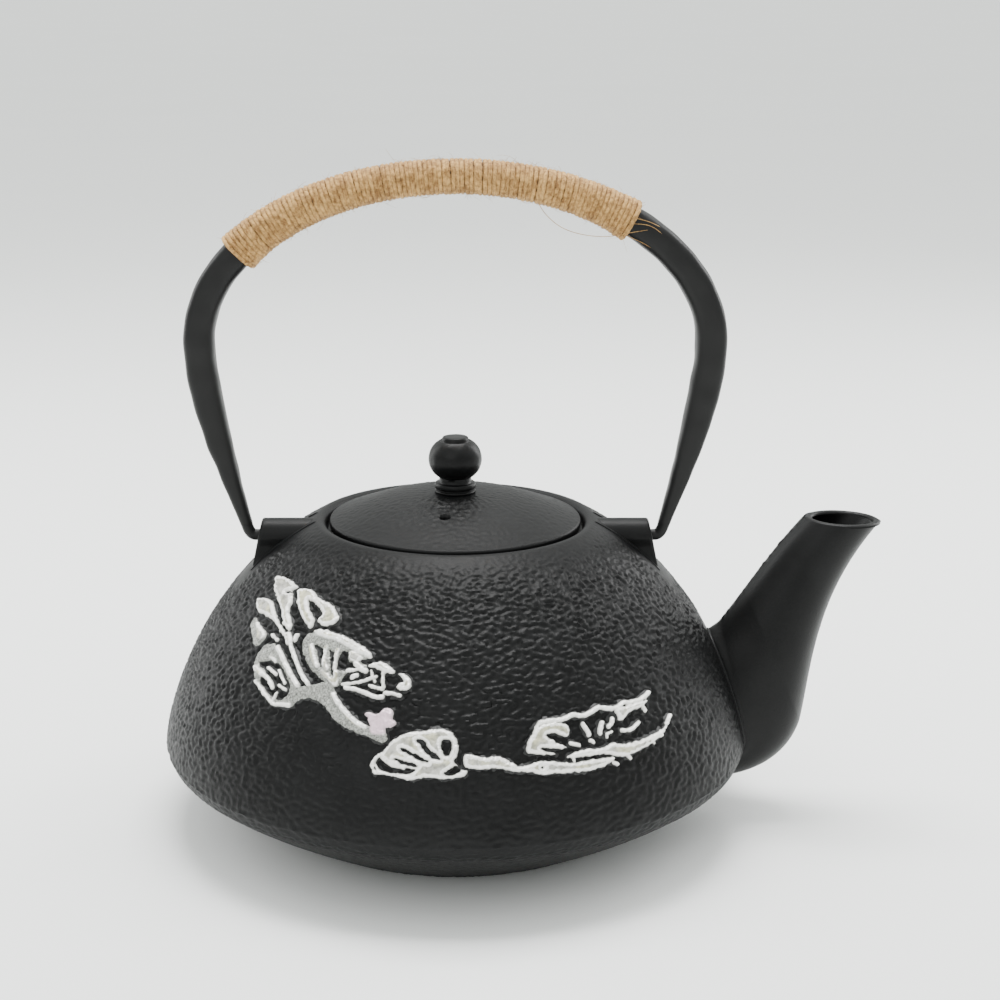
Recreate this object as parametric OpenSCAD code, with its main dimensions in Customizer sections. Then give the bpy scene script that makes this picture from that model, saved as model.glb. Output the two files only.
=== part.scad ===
// Cast-iron teapot with a swinging bail handle, a lift-off lid and a steel infuser.
// Millimetres. The origin is the centre of the flat base, on the pot's axis.
// +Z is up, +X points at the spout and the bail stands in the XZ plane.

/* [Pot] */
// Radius of the pot at its widest ring
body_r = 89.7; // [74:0.1:108]
// Height of the crown of the mouth above the base
mouth_z = 94.8; // [79:0.1:114]
// Height of the widest ring above the base
belly_z = 27; // [22:0.5:33]
// Radius of the flat base
base_r = 52.8; // [44:0.1:62]
// Radius that rounds the widest ring
belly_round = 8; // [6:0.5:12]
// Slope of the underside where it meets the widest ring, in degrees
underside_deg = 37; // [30:1:45]
// Slope of the shoulder where it meets the mouth, in degrees
shoulder_deg = 29; // [24:1:34]
// Fullness of the shoulder, from slack to full
shoulder_full = 0.78; // [0.65:0.01:0.85]
// Thickness of the iron wall
wall = 3.5; // [2.8:0.1:4.5]
// Thickness of the iron floor
floor_t = 4.5; // [3.5:0.1:6]

/* [Mouth] */
// Radius of the recess that the lid drops into
recess_r = 39.2; // [32:0.1:47]
// Radius that rounds the recess's edge
lip_round = 2.5; // [1.5:0.1:3]
// Depth of the recess below the crown of the mouth
recess_depth = 3.4; // [3:0.1:5]
// Width of the ledge that carries the lid and the infuser
ledge_w = 4.2; // [3.5:0.1:5]
// Thickness of the ledge
ledge_t = 3; // [2:0.1:4]

/* [Spout] */
// How far the spout's tip stands out past the widest ring
spout_reach = 40; // [33:0.5:48]
// Length of the spout's mouth along X
spout_lip = 23; // [19:0.5:27]
// Half of the spout's width at its tip
spout_tip_w = 9.5; // [8:0.1:11.5]
// Half of the spout's width at its root
spout_root_w = 14; // [12:0.1:17]
// Height of the crotch between the spout and the pot
spout_top_z = 58; // [52:1:62]
// Height of the spout's underside at the pot
spout_foot_z = 10.5; // [9:0.5:13]
// Thickness of the spout's wall
spout_wall = 2.3; // [1.9:0.1:2.8]
// Radius of the hole through the pot's wall behind the spout
pour_hole_r = 9; // [7:0.5:10]

/* [Lugs] */
// Drop from the crown of the mouth to the bail's pins
pin_drop = 5.7; // [4.8:0.1:7]
// Radius of the rounded top of a lug
lug_r = 5.2; // [4.4:0.1:6.2]
// Half of a lug's width where it meets the pot
lug_foot_w = 7.2; // [6:0.1:8.6]
// Slope of a lug's end face away from upright, in degrees
lug_rake = 12; // [8:1:16]
// Radius of a bail pin
pin_r = 1.7; // [1.4:0.05:2]
// Gap between the tip of a bail pin and the pot's skin
pin_end_gap = 0.6; // [0.4:0.1:1]
// Radial clearance of a pin in its lug
pin_fit = 0.08; // [0.03:0.01:0.1]

/* [Bail handle] */
// Height of the bail's shoulders above its pins
bail_side_h = 59.7; // [50:0.1:72]
// Rise of the bail's arch above its shoulders
bail_arch_h = 49.2; // [41:0.1:59]
// How far the shoulders stand out past the pins
bail_flare = 14.9; // [12:0.1:18]
// Gap between the bail and the end of a lug
bail_gap = 1.5; // [1.2:0.1:2.2]
// Thickness of the bail at its shoulders
bar_t = 9.3; // [7.8:0.1:11]
// Thickness of the bail at the crown
bar_crown_t = 7.6; // [6.4:0.1:9.2]
// Width of the bail at the crown
bar_w = 10.4; // [8.8:0.1:12.5]

/* [Twine wrap] */
// Where the wrap starts on the spout's side, along the arch from +X in degrees
wrap_from = 47; // [40:1:60]
// Where the wrap ends on the other side
wrap_to = 147; // [120:1:150]
// Thickness of the wrap over most of its length
wrap_t = 1.5; // [1.2:0.1:2]
// Thickness of the wrap at its two ends, where the twine is doubled under
wrap_end_t = 2.2; // [1.8:0.1:2.6]

/* [Lid] */
// Radial gap between the lid and its recess
lid_gap = 1; // [0.5:0.1:1.2]
// Thickness of the lid at its edge
lid_edge_t = 3; // [2.4:0.1:3.6]
// Rise of the lid's dome above its edge
lid_rise = 7.6; // [6:0.1:9.2]
// Thickness of the lid's dome
lid_t = 3.4; // [2.8:0.1:4.2]
// Radius of the steam vent
vent_r = 1.8; // [1.5:0.1:2.2]
// Distance of the steam vent from the lid's centre
vent_offset = 21.5; // [12:0.5:24]
// Height of the locating skirt under the lid
skirt_h = 5; // [4:0.1:6]
// Radial gap between the skirt and the infuser
skirt_gap = 1.5; // [1:0.1:2]

/* [Knob] */
// Largest radius of the knob
knob_r = 8.1; // [6.8:0.1:9.7]
// Height of the knob above its collar
knob_h = 14; // [11.7:0.1:16.8]
// Radius of the collar under the knob
collar_r = 6.2; // [5.6:0.1:7.4]
// Height of the collar
collar_h = 3.2; // [2.7:0.1:3.8]
// Radius of the knob screw's shank
screw_r = 2; // [1.6:0.1:2.4]
// Radius of the knob screw's head
screw_head_r = 3.8; // [3.2:0.1:4.2]
// Radius of the washer under the lid
washer_r = 5.4; // [4.8:0.1:6.2]

/* [Infuser] */
// Depth of the infuser below its rim
infuser_depth = 45; // [37:0.5:54]
// Thickness of the infuser's steel mesh
mesh_t = 0.5; // [0.4:0.05:0.8]
// Radial gap between the infuser and the pot's throat
infuser_gap = 1.4; // [1:0.1:1.8]
// Thickness of the infuser's rim
rim_t = 0.6; // [0.5:0.05:0.8]

/* [Pine relief] */
// How far the pine branch stands out of the pot
relief_h = 1.4; // [1:0.1:1.8]

/* [Hidden] */

eps = 0.01;
seat_gap = 0.1;        // air between stacked loose pieces
sink = 0.2;            // how deep cast-on details sink into the skin
curve_steps = 14;      // straight steps in each curve of an outline
round_fn = 96;

iron = [0.10, 0.10, 0.11];
silver = [0.78, 0.78, 0.80];
steel = [0.70, 0.71, 0.72];
jute = [0.72, 0.56, 0.36];

// ---- curves -------------------------------------------------------------
function dir(deg) = [cos(deg), sin(deg)];
function bez(c, t) = pow(1 - t, 3) * c[0] + 3 * t * pow(1 - t, 2) * c[1]
                   + 3 * t * t * (1 - t) * c[2] + pow(t, 3) * c[3];
function bez_way(c, t) = pow(1 - t, 2) * (c[1] - c[0]) + 2 * t * (1 - t) * (c[2] - c[1])
                       + t * t * (c[3] - c[2]);
function arc(centre, r, from, to, steps) =
    [for (i = [0:steps]) centre + r * dir(from + (to - from) * i / steps)];
function right_of(way) = [way.y, -way.x] / norm(way);

// ---- pot outline, as [radius, height] from the base up to the mouth -------
lip_centre = [recess_r + lip_round, mouth_z - lip_round];
crown = lip_centre + lip_round * dir(90 - shoulder_deg);
belly_centre = [body_r - belly_round, belly_z];
belly_foot = belly_centre + belly_round * dir(underside_deg - 90);
under_reach = 0.35 * norm(belly_foot - [base_r, 0]);
underside = [[base_r, 0], [base_r, 0] + under_reach * dir(underside_deg - 8),
             belly_foot - under_reach * dir(underside_deg), belly_foot];
belly_rise = 5.7;      // how far the skin stays upright above the widest ring
shoulder_reach = shoulder_full * (body_r - crown.x) / cos(shoulder_deg);
shoulder = [[body_r, belly_z], [body_r, belly_z + belly_rise],
            crown + shoulder_reach * dir(-shoulder_deg), crown];

function curve_inset(c, inset, steps) =
    [for (i = [0:steps]) bez(c, i / steps) - inset * right_of(bez_way(c, i / steps))];
function skin(inset) = concat(
    [for (i = [0:curve_steps - 1]) curve_inset(underside, inset, curve_steps)[i]],
    arc(belly_centre, belly_round - inset, underside_deg - 90, 0, 6),
    [for (i = [1:2 * curve_steps]) curve_inset(shoulder, inset, 2 * curve_steps)[i]]);
outer_skin = skin(0);
inner_skin = skin(wall);
outer_table = [for (p = outer_skin) [p.y, p.x]];
inner_table = [for (p = inner_skin) [p.y, p.x]];
function outer_r(z) = lookup(z, outer_table);
function inner_r(z) = lookup(z, inner_table);

ledge_z = mouth_z - recess_depth;
ledge_under = ledge_z - ledge_t;
throat_r = recess_r - ledge_w;

// The pot's outer shape as one solid, for trimming what is cast onto it.
module pot_solid() {
    rotate_extrude($fn = round_fn) polygon(concat([[0, 0]], outer_skin, [[0, crown.y]]));
}

// ---- spout ----------------------------------------------------------------
spout_tip_z = mouth_z - 0.7;
spout_lip_rise = 0.8;                 // the lip's back edge stands a little higher
root_step = 0.5;                      // least growth of the root from ring to ring
root_top = [outer_r(spout_top_z), spout_top_z];
root_foot = [outer_r(spout_foot_z), spout_foot_z];
lip_back = [body_r + spout_reach - spout_lip, spout_tip_z + spout_lip_rise];
lip_front = [body_r + spout_reach, spout_tip_z];
knee = [body_r + 0.445 * spout_reach, 0.31 * spout_tip_z];
spout_upper = [root_top, root_top + 0.26 * norm(lip_back - root_top) * dir(45),
               lip_back - 0.4 * norm(lip_back - root_top) * dir(48), lip_back];
spout_belly = [root_foot, [knee.x - 15, spout_foot_z - 2], knee - 13 * dir(74), knee];
spout_front = [knee, knee + 17 * dir(79), lip_front - 31 * dir(51), lip_front];
knee_at = 0.42;                       // share of the rings that lie below the knee

function upper_at(t) = bez(spout_upper, t);
function upper_way(t) = bez_way(spout_upper, t);
function lower_at(t) = t < knee_at ? bez(spout_belly, t / knee_at)
                                   : bez(spout_front, (t - knee_at) / (1 - knee_at));
function lower_way(t) = t < knee_at ? bez_way(spout_belly, t / knee_at)
                                    : bez_way(spout_front, (t - knee_at) / (1 - knee_at));
function spout_half_w(t) = lookup(t, [[0, spout_root_w], [knee_at, spout_root_w - 0.5],
                                      [0.8, spout_tip_w + 0.6], [1, spout_tip_w]]);
function lean(a, b) = max(0.5, abs(cross(a, b)) / norm(a) / norm(b));

function skin_x(y, z) = sqrt(pow(outer_r(z), 2) - y * y);

// Ring i of the spout, an oval from the upper outline to the lower one. The first rings
// stand on the pot's skin and grow out of it.
spout_rings = 26;
spout_sides = 28;
function spout_ring(i, inset) =
    let (t = i / spout_rings, u = upper_at(t), l = lower_at(t), across = (u - l) / norm(u - l),
         top = u - across * inset / lean(across, upper_way(t)),
         foot = l + across * inset / lean(across, lower_way(t)),
         mid = (top + foot) / 2, half = (top - foot) / 2, w = spout_half_w(t) - inset)
    [for (k = [0:spout_sides - 1])
        let (a = -360 * k / spout_sides, y = w * sin(a), z = mid.y + half.y * cos(a))
        [max(mid.x + half.x * cos(a), skin_x(y, z) + root_step * i), y, z]];

// ---- lofting ----------------------------------------------------------------
function band(n, i, j) = [for (k = [0:n - 1])
    [i * n + k, j * n + k, j * n + (k + 1) % n, i * n + (k + 1) % n]];

// A closed solid through a list of rings that all have the same number of points.
module loft(rings) {
    n = len(rings[0]);
    last = len(rings) - 1;
    polyhedron(
        points = [for (ring = rings) each ring],
        faces = concat([[for (k = [0:n - 1]) k]],
                       [for (i = [0:last - 1]) each band(n, i, i + 1)],
                       [[for (k = [n - 1:-1:0]) last * n + k]]),
        convexity = 6);
}

// A tube: outer rings one way and inner rings back, closed end to end.
module tube(outer, inner) {
    n = len(outer[0]);
    rings = concat(outer, [for (i = [len(inner) - 1:-1:0]) inner[i]]);
    polyhedron(
        points = [for (ring = rings) each ring],
        faces = [for (i = [0:len(rings) - 1]) each band(n, i, (i + 1) % len(rings))],
        convexity = 6);
}

module spout() {
    color(iron) tube([for (i = [0:spout_rings]) spout_ring(i, 0)],
                     [for (i = [0:spout_rings]) spout_ring(i, spout_wall)]);
}

// ---- pot ----------------------------------------------------------------------
pour_hole_z = (spout_top_z + spout_foot_z) / 2;

module pot_body() {
    color(iron) difference() {
        rotate_extrude($fn = round_fn) polygon(concat(
            [[0, 0]],
            outer_skin,
            arc(lip_centre, lip_round, 95 - shoulder_deg, 180, 6),
            [[recess_r, ledge_z], [throat_r, ledge_z], [throat_r, ledge_under],
             [inner_r(ledge_under), ledge_under]],
            [for (i = [len(inner_skin) - 1:-1:0])
                if (inner_skin[i].y > floor_t + eps && inner_skin[i].y < ledge_under - eps)
                    inner_skin[i]],
            [[inner_r(floor_t), floor_t], [0, floor_t]]));
        translate([0, 0, pour_hole_z]) rotate([0, 90, 0])
            cylinder(h = body_r + 1, r = pour_hole_r, $fn = round_fn);
    }
}

// ---- lugs ------------------------------------------------------------------------
pin_z = mouth_z - pin_drop;
lug_drop = 11;                         // how far the lug's end face runs below the pins
lug_foot_x = outer_r(pin_z - lug_drop) - 1.5;
lug_end_x = lug_foot_x - lug_drop * tan(lug_rake);
lug_start_x = recess_r + 4;
pin_tip_x = outer_r(pin_z - pin_r) + pin_end_gap;

// The lug on the +X side, made whole and then trimmed to the pot and to its end face.
module lug() {
    far = lug_foot_x + 4;
    length = far - lug_start_x;
    difference() {
        union() {
            translate([lug_start_x, 0, pin_z]) rotate([0, 90, 0])
                cylinder(h = length, r = lug_r, $fn = round_fn);
            hull() {
                translate([lug_start_x, -lug_r, pin_z - 1]) cube([length, 2 * lug_r, 1]);
                translate([lug_start_x, -lug_foot_w, pin_z - lug_drop - 8])
                    cube([length, 2 * lug_foot_w, 4]);
            }
        }
        pot_solid();
        translate([lug_end_x, 0, pin_z]) rotate([0, -lug_rake, 0])
            translate([0, -lug_foot_w - 1, -4 * lug_r]) cube([20, 2 * lug_foot_w + 2, 8 * lug_r]);
        translate([lug_start_x, -lug_foot_w - 1, pin_z - lug_drop - 12])
            cube([length + 1, 2 * lug_foot_w + 2, 10]);
        translate([lug_start_x, 0, pin_z]) rotate([0, 90, 0])
            cylinder(h = length, r = pin_r + pin_fit, $fn = round_fn);
    }
}
module lug_front() { color(iron) lug(); }
module lug_rear() { color(iron) mirror([1, 0, 0]) lug(); }

// ---- bail handle --------------------------------------------------------------------
pin_face_x = lug_end_x + bail_gap;
arch_half = pin_face_x + bail_flare;       // half of the arch's span at its shoulders
arch_z = pin_z + bail_side_h;
elbow_top = [pin_face_x + 2.2, pin_z + 3.6];
elbow = [[pin_face_x - 0.6, pin_z], [pin_face_x + 1.2, pin_z],
         elbow_top - 1.4 * dir(76), elbow_top];
arm = [elbow_top, elbow_top + 0.3 * bail_side_h * dir(73),
       [arch_half, arch_z - 0.26 * bail_side_h], [arch_half, arch_z]];

// Sections of the half bail as [centre, way, thickness, width], pin to crown.
hook_t = 2 * pin_r + 0.1;                  // the bail where the hook turns up into the arm
hook_w = 2 * pin_r + 0.8;
elbow_steps = 6;
arm_steps = 13;
arch_steps = 18;
elbow_part = [for (i = [0:elbow_steps - 1]) let (s = i / elbow_steps)
    [bez(elbow, s), bez_way(elbow, s),
     lookup(s, [[0, 2 * pin_r], [1, hook_t]]), lookup(s, [[0, 2 * pin_r], [1, hook_w]])]];
arm_part = [for (i = [0:arm_steps - 1]) let (s = i / arm_steps)
    [bez(arm, s), bez_way(arm, s),
     lookup(s, [[0, hook_t], [0.2, 0.54 * bar_t], [0.45, 0.82 * bar_t], [0.7, bar_t]]),
     lookup(s, [[0, hook_w], [0.3, 0.68 * bar_w], [0.7, 0.9 * bar_w], [1, bar_w]])]];
function arch_section(deg, grow) =
    let (c = [arch_half * cos(deg), arch_z + bail_arch_h * sin(deg)],
         way = [-arch_half * sin(deg), bail_arch_h * cos(deg)],
         crown_share = pow(sin(deg), 4))
    [c, way, bar_t + (bar_crown_t - bar_t) * crown_share + 2 * grow, bar_w + 2 * grow];
half_bail = concat(elbow_part, arm_part,
                   [for (i = [0:arch_steps - 1]) arch_section(90 * i / arch_steps, 0)]);

// The oblong ring of points that a section stands for.
function bar_ring(s, side, sides) =
    let (out = right_of(s[1]) * s[2] / 2)
    [for (k = [0:sides - 1]) let (a = 360 * k / sides,
            u = sign(cos(a)) * pow(abs(cos(a)), 0.8), v = sign(sin(a)) * pow(abs(sin(a)), 0.8))
        [side * (s[0].x + out.x * u), v * s[3] / 2, s[0].y + out.y * u]];
bar_sides = 16;

module handle_bar() {
    color(iron) {
        loft(concat([for (s = half_bail) bar_ring(s, 1, bar_sides)],
                    [bar_ring(arch_section(90, 0), 1, bar_sides)],
                    [for (i = [len(half_bail) - 1:-1:0]) bar_ring(half_bail[i], -1, bar_sides)]));
        bail_pin();
        mirror([1, 0, 0]) bail_pin();
    }
}

module bail_pin() {
    translate([pin_tip_x, 0, pin_z]) rotate([0, 90, 0])
        cylinder(h = pin_face_x + 0.4 - pin_tip_x, r = pin_r, $fn = round_fn);
}

wrap_steps = 36;
wrap_fit = 0.05;
function wrap_share(i) = i / wrap_steps;
function wrap_grow(i) = wrap_t + (wrap_end_t - wrap_t) * pow(abs(2 * wrap_share(i) - 1), 6);
function wrap_deg(i) = wrap_from + (wrap_to - wrap_from) * wrap_share(i);
function wrap_rings(inside) = [for (i = [0:wrap_steps])
    bar_ring(arch_section(wrap_deg(i), inside ? wrap_fit : wrap_grow(i)), 1, bar_sides)];

module handle_wrap() {
    color(jute) tube(wrap_rings(false), wrap_rings(true));
}

// ---- lid and knob ------------------------------------------------------------------------
lid_r = recess_r - lid_gap;
infuser_rim_top = ledge_z + rim_t;
lid_z = infuser_rim_top + seat_gap;
lid_edge_z = lid_z + lid_edge_t;
lid_top = lid_edge_z + lid_rise;
pad_r = collar_r + 0.6;                 // flat spot in the middle of the dome
mesh_r = throat_r - infuser_gap;
skirt_r = mesh_r - mesh_t - skirt_gap;
dome = [[pad_r, lid_top], [pad_r + 0.35 * lid_r, lid_top - 0.04 * lid_rise],
        [lid_r - 9, lid_edge_z + 2.9], [lid_r - 0.9, lid_edge_z]];

module lid() {
    color(iron) difference() {
        rotate_extrude($fn = round_fn) polygon(concat(
            [[0, lid_top]],
            [for (i = [0:curve_steps]) bez(dome, i / curve_steps)],
            arc([lid_r - 0.9, lid_edge_z - 0.9], 0.9, 70, 0, 4),
            [[lid_r, lid_z + 0.8], [lid_r - 0.8, lid_z],
             [skirt_r, lid_z], [skirt_r, lid_z - skirt_h + 1], [skirt_r - 1, lid_z - skirt_h],
             [skirt_r - lid_t, lid_z - skirt_h], [skirt_r - lid_t, lid_z + 1]],
            [for (i = [8:-1:0]) bez(dome, i / curve_steps) - [0, lid_t]],
            [[0, lid_top - lid_t]]));
        translate([0, 0, lid_z]) cylinder(h = 2 * lid_rise, r = screw_r + 0.2, $fn = round_fn);
        rotate([0, 0, -98]) translate([vent_offset, 0, lid_z])
            cylinder(h = 2 * lid_rise, r = vent_r, $fn = round_fn);
    }
}

collar_top = lid_top + collar_h;
module knob_collar() {
    color(iron) difference() {
        rotate_extrude($fn = round_fn) polygon([
            [0, lid_top], [collar_r, lid_top], [collar_r, lid_top + 0.7],
            [collar_r - 0.4, lid_top + 0.9], [collar_r - 0.4, lid_top + 1.2],
            [collar_r, lid_top + 1.4], [collar_r, collar_top - 0.6],
            [collar_r - 0.6, collar_top], [0, collar_top]]);
        translate([0, 0, lid_top - 1]) cylinder(h = collar_h + 2, r = screw_r + 0.2, $fn = round_fn);
    }
}

knob_top = collar_top + knob_h;
knob_bend = 6.5;                         // radius of the knob's rounded side
knob_mid = collar_top + knob_h * 0.51;
screw_fit = 0.05;
screw_depth = 0.55 * knob_h;
module lid_knob() {
    neck_r = collar_r - 1.3;
    color(iron) difference() {
        rotate_extrude($fn = round_fn) polygon(concat(
            [[0, collar_top], [neck_r + 0.4, collar_top], [neck_r, collar_top + 0.7]],
            arc([knob_r - knob_bend, knob_mid], knob_bend, -60, 60, 16),
            [[4.5, knob_top - 1.5], [4.1, knob_top - 1.2], [3.9, knob_top - 0.3],
             [3.3, knob_top], [0, knob_top]]));
        translate([0, 0, collar_top - 1])
            cylinder(h = screw_depth + 1.5, r = screw_r + screw_fit, $fn = round_fn);
    }
}

washer_t = 0.8;
washer_z = lid_top - lid_t - washer_t;
screw_head_t = 2.2;
module knob_washer() {
    color(steel) translate([0, 0, washer_z]) difference() {
        cylinder(h = washer_t, r = washer_r, $fn = round_fn);
        translate([0, 0, -1]) cylinder(h = washer_t + 2, r = screw_r + 0.2, $fn = round_fn);
    }
}

module knob_screw() {
    color(steel) difference() {
        union() {
            translate([0, 0, washer_z - screw_head_t])
                cylinder(h = screw_head_t, r = screw_head_r, $fn = round_fn);
            translate([0, 0, washer_z - eps])
                cylinder(h = collar_top + screw_depth - washer_z, r = screw_r, $fn = round_fn);
        }
        translate([-screw_head_r - 1, -0.5, washer_z - screw_head_t - 1])
            cube([2 * screw_head_r + 2, 1, 2]);
    }
}

// ---- infuser --------------------------------------------------------------------------------
infuser_r = recess_r - 1.2;
mesh_foot_z = ledge_z - infuser_depth;
rim_turn = 4;                            // height of the rim's turned-down inner edge
base_lip = 2;                            // height of the base's turned-up edge

module infuser_rim() {
    color(steel) rotate_extrude($fn = round_fn) polygon([
        [mesh_r, ledge_z], [infuser_r, ledge_z], [infuser_r, infuser_rim_top],
        [mesh_r - mesh_t - rim_t, infuser_rim_top], [mesh_r - mesh_t - rim_t, ledge_z - rim_turn],
        [mesh_r - mesh_t, ledge_z - rim_turn], [mesh_r - mesh_t, ledge_z]]);
}

module infuser_mesh() {
    color(steel) translate([0, 0, mesh_foot_z]) difference() {
        cylinder(h = infuser_depth, r = mesh_r, $fn = round_fn);
        translate([0, 0, -1]) cylinder(h = infuser_depth + 2, r = mesh_r - mesh_t, $fn = round_fn);
    }
}

module infuser_base() {
    color(steel) rotate_extrude($fn = round_fn) polygon([
        [0, mesh_foot_z], [mesh_r - mesh_t, mesh_foot_z],
        [mesh_r - mesh_t, mesh_foot_z + base_lip],
        [mesh_r - mesh_t - rim_t, mesh_foot_z + base_lip],
        [mesh_r - mesh_t - rim_t, mesh_foot_z + rim_t], [0, mesh_foot_z + rim_t]]);
}

// ---- pine relief -------------------------------------------------------------------------------
// Needle pads as [turn from the front towards the spout, height as a share of the mouth's
// height, half length, half height, tilt]; degrees and millimetres.
pine_pads = [
    [-53, 0.84, 17, 7, 25], [-43, 0.66, 8, 8, 0], [-24, 0.735, 20, 8, -24],
    [-6, 0.54, 17, 8, 8], [32, 0.55, 22, 6, 10]];
// Branches as lists of [turn, height share].
pine_branches = [
    [[-41, 0.74], [-37, 0.66], [-28, 0.645], [-21, 0.59], [-14, 0.56]],
    [[2, 0.51], [8, 0.505], [20, 0.47], [29, 0.46], [38, 0.475], [46, 0.51]]];

// A point on the pot's skin, moved out by lift.
function on_skin(turn, z, lift) =
    let (r = outer_r(z) + lift * 0.85) [r * sin(turn), -r * cos(turn), z + lift * 0.5];
function skin_slope(z) = norm([outer_r(z + 1) - outer_r(z - 1), 2]) / 2;

module pine_pad(pad) {
    z0 = pad[1] * mouth_z;
    sides = 24;
    bands = 4;
    function spot(share, a, lift) =
        let (along = pad[2] * share * cos(a), up = pad[3] * share * sin(a),
             s = along * cos(pad[4]) - up * sin(pad[4]),
             h = along * sin(pad[4]) + up * cos(pad[4]), z = z0 + h / skin_slope(z0))
        on_skin(pad[0] + s / outer_r(z) * 180 / PI, z, lift);
    loft(concat(
        [for (i = [1:bands]) [for (k = [0:sides - 1]) spot(i / bands, 360 * k / sides, -sink)]],
        [for (i = [bands:-1:1])
            [for (k = [0:sides - 1])
                spot(i / bands * 0.96, 360 * k / sides, relief_h * (1 - 0.5 * pow(i / bands, 4)))]]));
}

module pine_branch(way) {
    steps = 5;
    half_w = 1.6;
    spots = [for (i = [0:len(way) - 2], k = [0:steps - 1]) way[i] + (way[i + 1] - way[i]) * k / steps];
    loft([for (p = concat(spots, [way[len(way) - 1]]))
        let (z = p[1] * mouth_z)
        [on_skin(p[0], z + half_w, -sink), on_skin(p[0], z + half_w * 0.7, relief_h * 0.7),
         on_skin(p[0], z, relief_h), on_skin(p[0], z - half_w * 0.7, relief_h * 0.7),
         on_skin(p[0], z - half_w, -sink)]]);
}

module pine_relief() {
    color(silver) {
        for (pad = pine_pads) pine_pad(pad);
        for (way = pine_branches) pine_branch(way);
    }
}

pot_body();
spout();
lug_front();
lug_rear();
pine_relief();
lid();
knob_collar();
lid_knob();
knob_screw();
knob_washer();
handle_bar();
handle_wrap();
infuser_rim();
infuser_mesh();
infuser_base();
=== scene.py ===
"""Looks of a cast-iron teapot: pot, spout, lugs, pine relief, lid, knob, bail, twine and infuser.

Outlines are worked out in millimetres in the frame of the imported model, whose origin is the centre
of the flat base, with +X towards the spout. A mesh is scaled to metres when it is made.
"""
import math

import bpy
import numpy as np
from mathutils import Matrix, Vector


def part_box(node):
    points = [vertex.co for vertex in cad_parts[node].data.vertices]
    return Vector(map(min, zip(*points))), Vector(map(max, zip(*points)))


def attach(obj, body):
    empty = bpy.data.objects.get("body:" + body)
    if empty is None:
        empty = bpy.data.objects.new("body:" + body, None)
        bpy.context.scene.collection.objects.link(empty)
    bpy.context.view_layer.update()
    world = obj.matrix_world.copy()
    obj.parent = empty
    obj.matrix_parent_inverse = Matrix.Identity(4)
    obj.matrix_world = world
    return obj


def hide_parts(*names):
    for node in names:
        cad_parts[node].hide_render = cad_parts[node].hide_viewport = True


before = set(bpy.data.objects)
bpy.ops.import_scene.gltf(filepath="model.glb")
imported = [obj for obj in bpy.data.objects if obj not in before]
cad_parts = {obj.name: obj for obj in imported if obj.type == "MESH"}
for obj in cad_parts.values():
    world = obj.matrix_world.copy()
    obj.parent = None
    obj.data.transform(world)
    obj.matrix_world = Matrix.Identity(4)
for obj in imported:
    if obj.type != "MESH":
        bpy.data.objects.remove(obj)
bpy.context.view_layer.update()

bl_info = {
    "name": "Cast-iron teapot",
    "version": (1, 0, 0),
    "blender": (4, 5, 0),
    "location": "View3D > Sidebar > Teapot",
    "description": "Builds a cast-iron teapot with a twine-wrapped bail round a packed frame",
    "category": "Object",
}

MM = 0.001


# ---- places taken from the frame -------------------------------------------------------------

def span(node):
    """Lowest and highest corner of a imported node, in millimetres."""
    low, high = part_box(node)
    return np.array(low) / MM, np.array(high) / MM


POT_HIGH = span("pot_body")[1]
LID_LOW, LID_HIGH = span("lid")
SPOUT_HIGH = span("spout")[1]
COLLAR_HIGH = span("knob_collar")[1]
KNOB_HIGH = span("lid_knob")[1]
BAR_LOW, BAR_HIGH = span("handle_bar")
MESH_LOW, MESH_HIGH = span("infuser_mesh")

# Pot
body_r = POT_HIGH[0]
mouth_z = POT_HIGH[2]
belly_z = 27.0
base_r = 52.8
belly_round = 8.0
underside_deg = 37.0
shoulder_deg = 29.0
shoulder_full = 0.78
belly_rise = 5.7
wall = 3.5
floor_t = 4.5

# Mouth and lid
lid_r = LID_HIGH[0]
lid_top = LID_HIGH[2]
lid_gap = 1.0
lid_edge_t = 3.0
lid_rise = 7.6
lid_t = 3.4
skirt_h = 5.0
lid_z = LID_LOW[2] + skirt_h
lid_edge_z = lid_z + lid_edge_t
recess_r = lid_r + lid_gap
lip_round = 2.5
ledge_z = mouth_z - 3.4
ledge_under = ledge_z - 3.0
throat_r = recess_r - 4.2
vent_r = 1.8
vent_offset = 21.5
vent_turn = -98.0

# Knob
collar_r = COLLAR_HIGH[0]
collar_top = COLLAR_HIGH[2]
knob_r = KNOB_HIGH[0]
knob_top = KNOB_HIGH[2]
knob_bend = 6.5
screw_hole_r = 2.2

# Spout
spout_reach = SPOUT_HIGH[0] - body_r
spout_lip = 23.0
spout_tip_z = mouth_z - 0.7
spout_lip_rise = 0.8
spout_tip_w = 9.5
spout_root_w = SPOUT_HIGH[1]
spout_top_z = 58.0
spout_foot_z = 10.5
spout_wall = 2.3
pour_hole_r = 9.0
knee_at = 0.42
root_growth = 13.0          # how far the root would grow out of the skin by the tip

# Lugs and bail
pin_z = mouth_z - 5.7
pin_r = 1.7
pin_fit = 0.08
pin_end_gap = 0.6
lug_r = 5.2
lug_foot_w = 7.2
lug_rake = 12.0
lug_drop = 11.0
lug_start_x = recess_r + 4.0
bail_side_h = 59.7
bail_arch_h = 49.2
bail_flare = 14.9
bail_gap = 1.5
bar_t = 9.3
bar_crown_t = 7.6
bar_w = BAR_HIGH[1] - BAR_LOW[1]
corner_power = 0.8          # how square the bail's section is
wrap_from = 47.0
wrap_to = 147.0
wrap_t = 1.5
wrap_end_t = 2.2

# Infuser
mesh_r = MESH_HIGH[0]
mesh_t = 0.5


# ---- curves ----------------------------------------------------------------------------------

def heading(deg):
    """Unit vector at an angle from +X."""
    return np.array([math.cos(math.radians(deg)), math.sin(math.radians(deg))])


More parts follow.
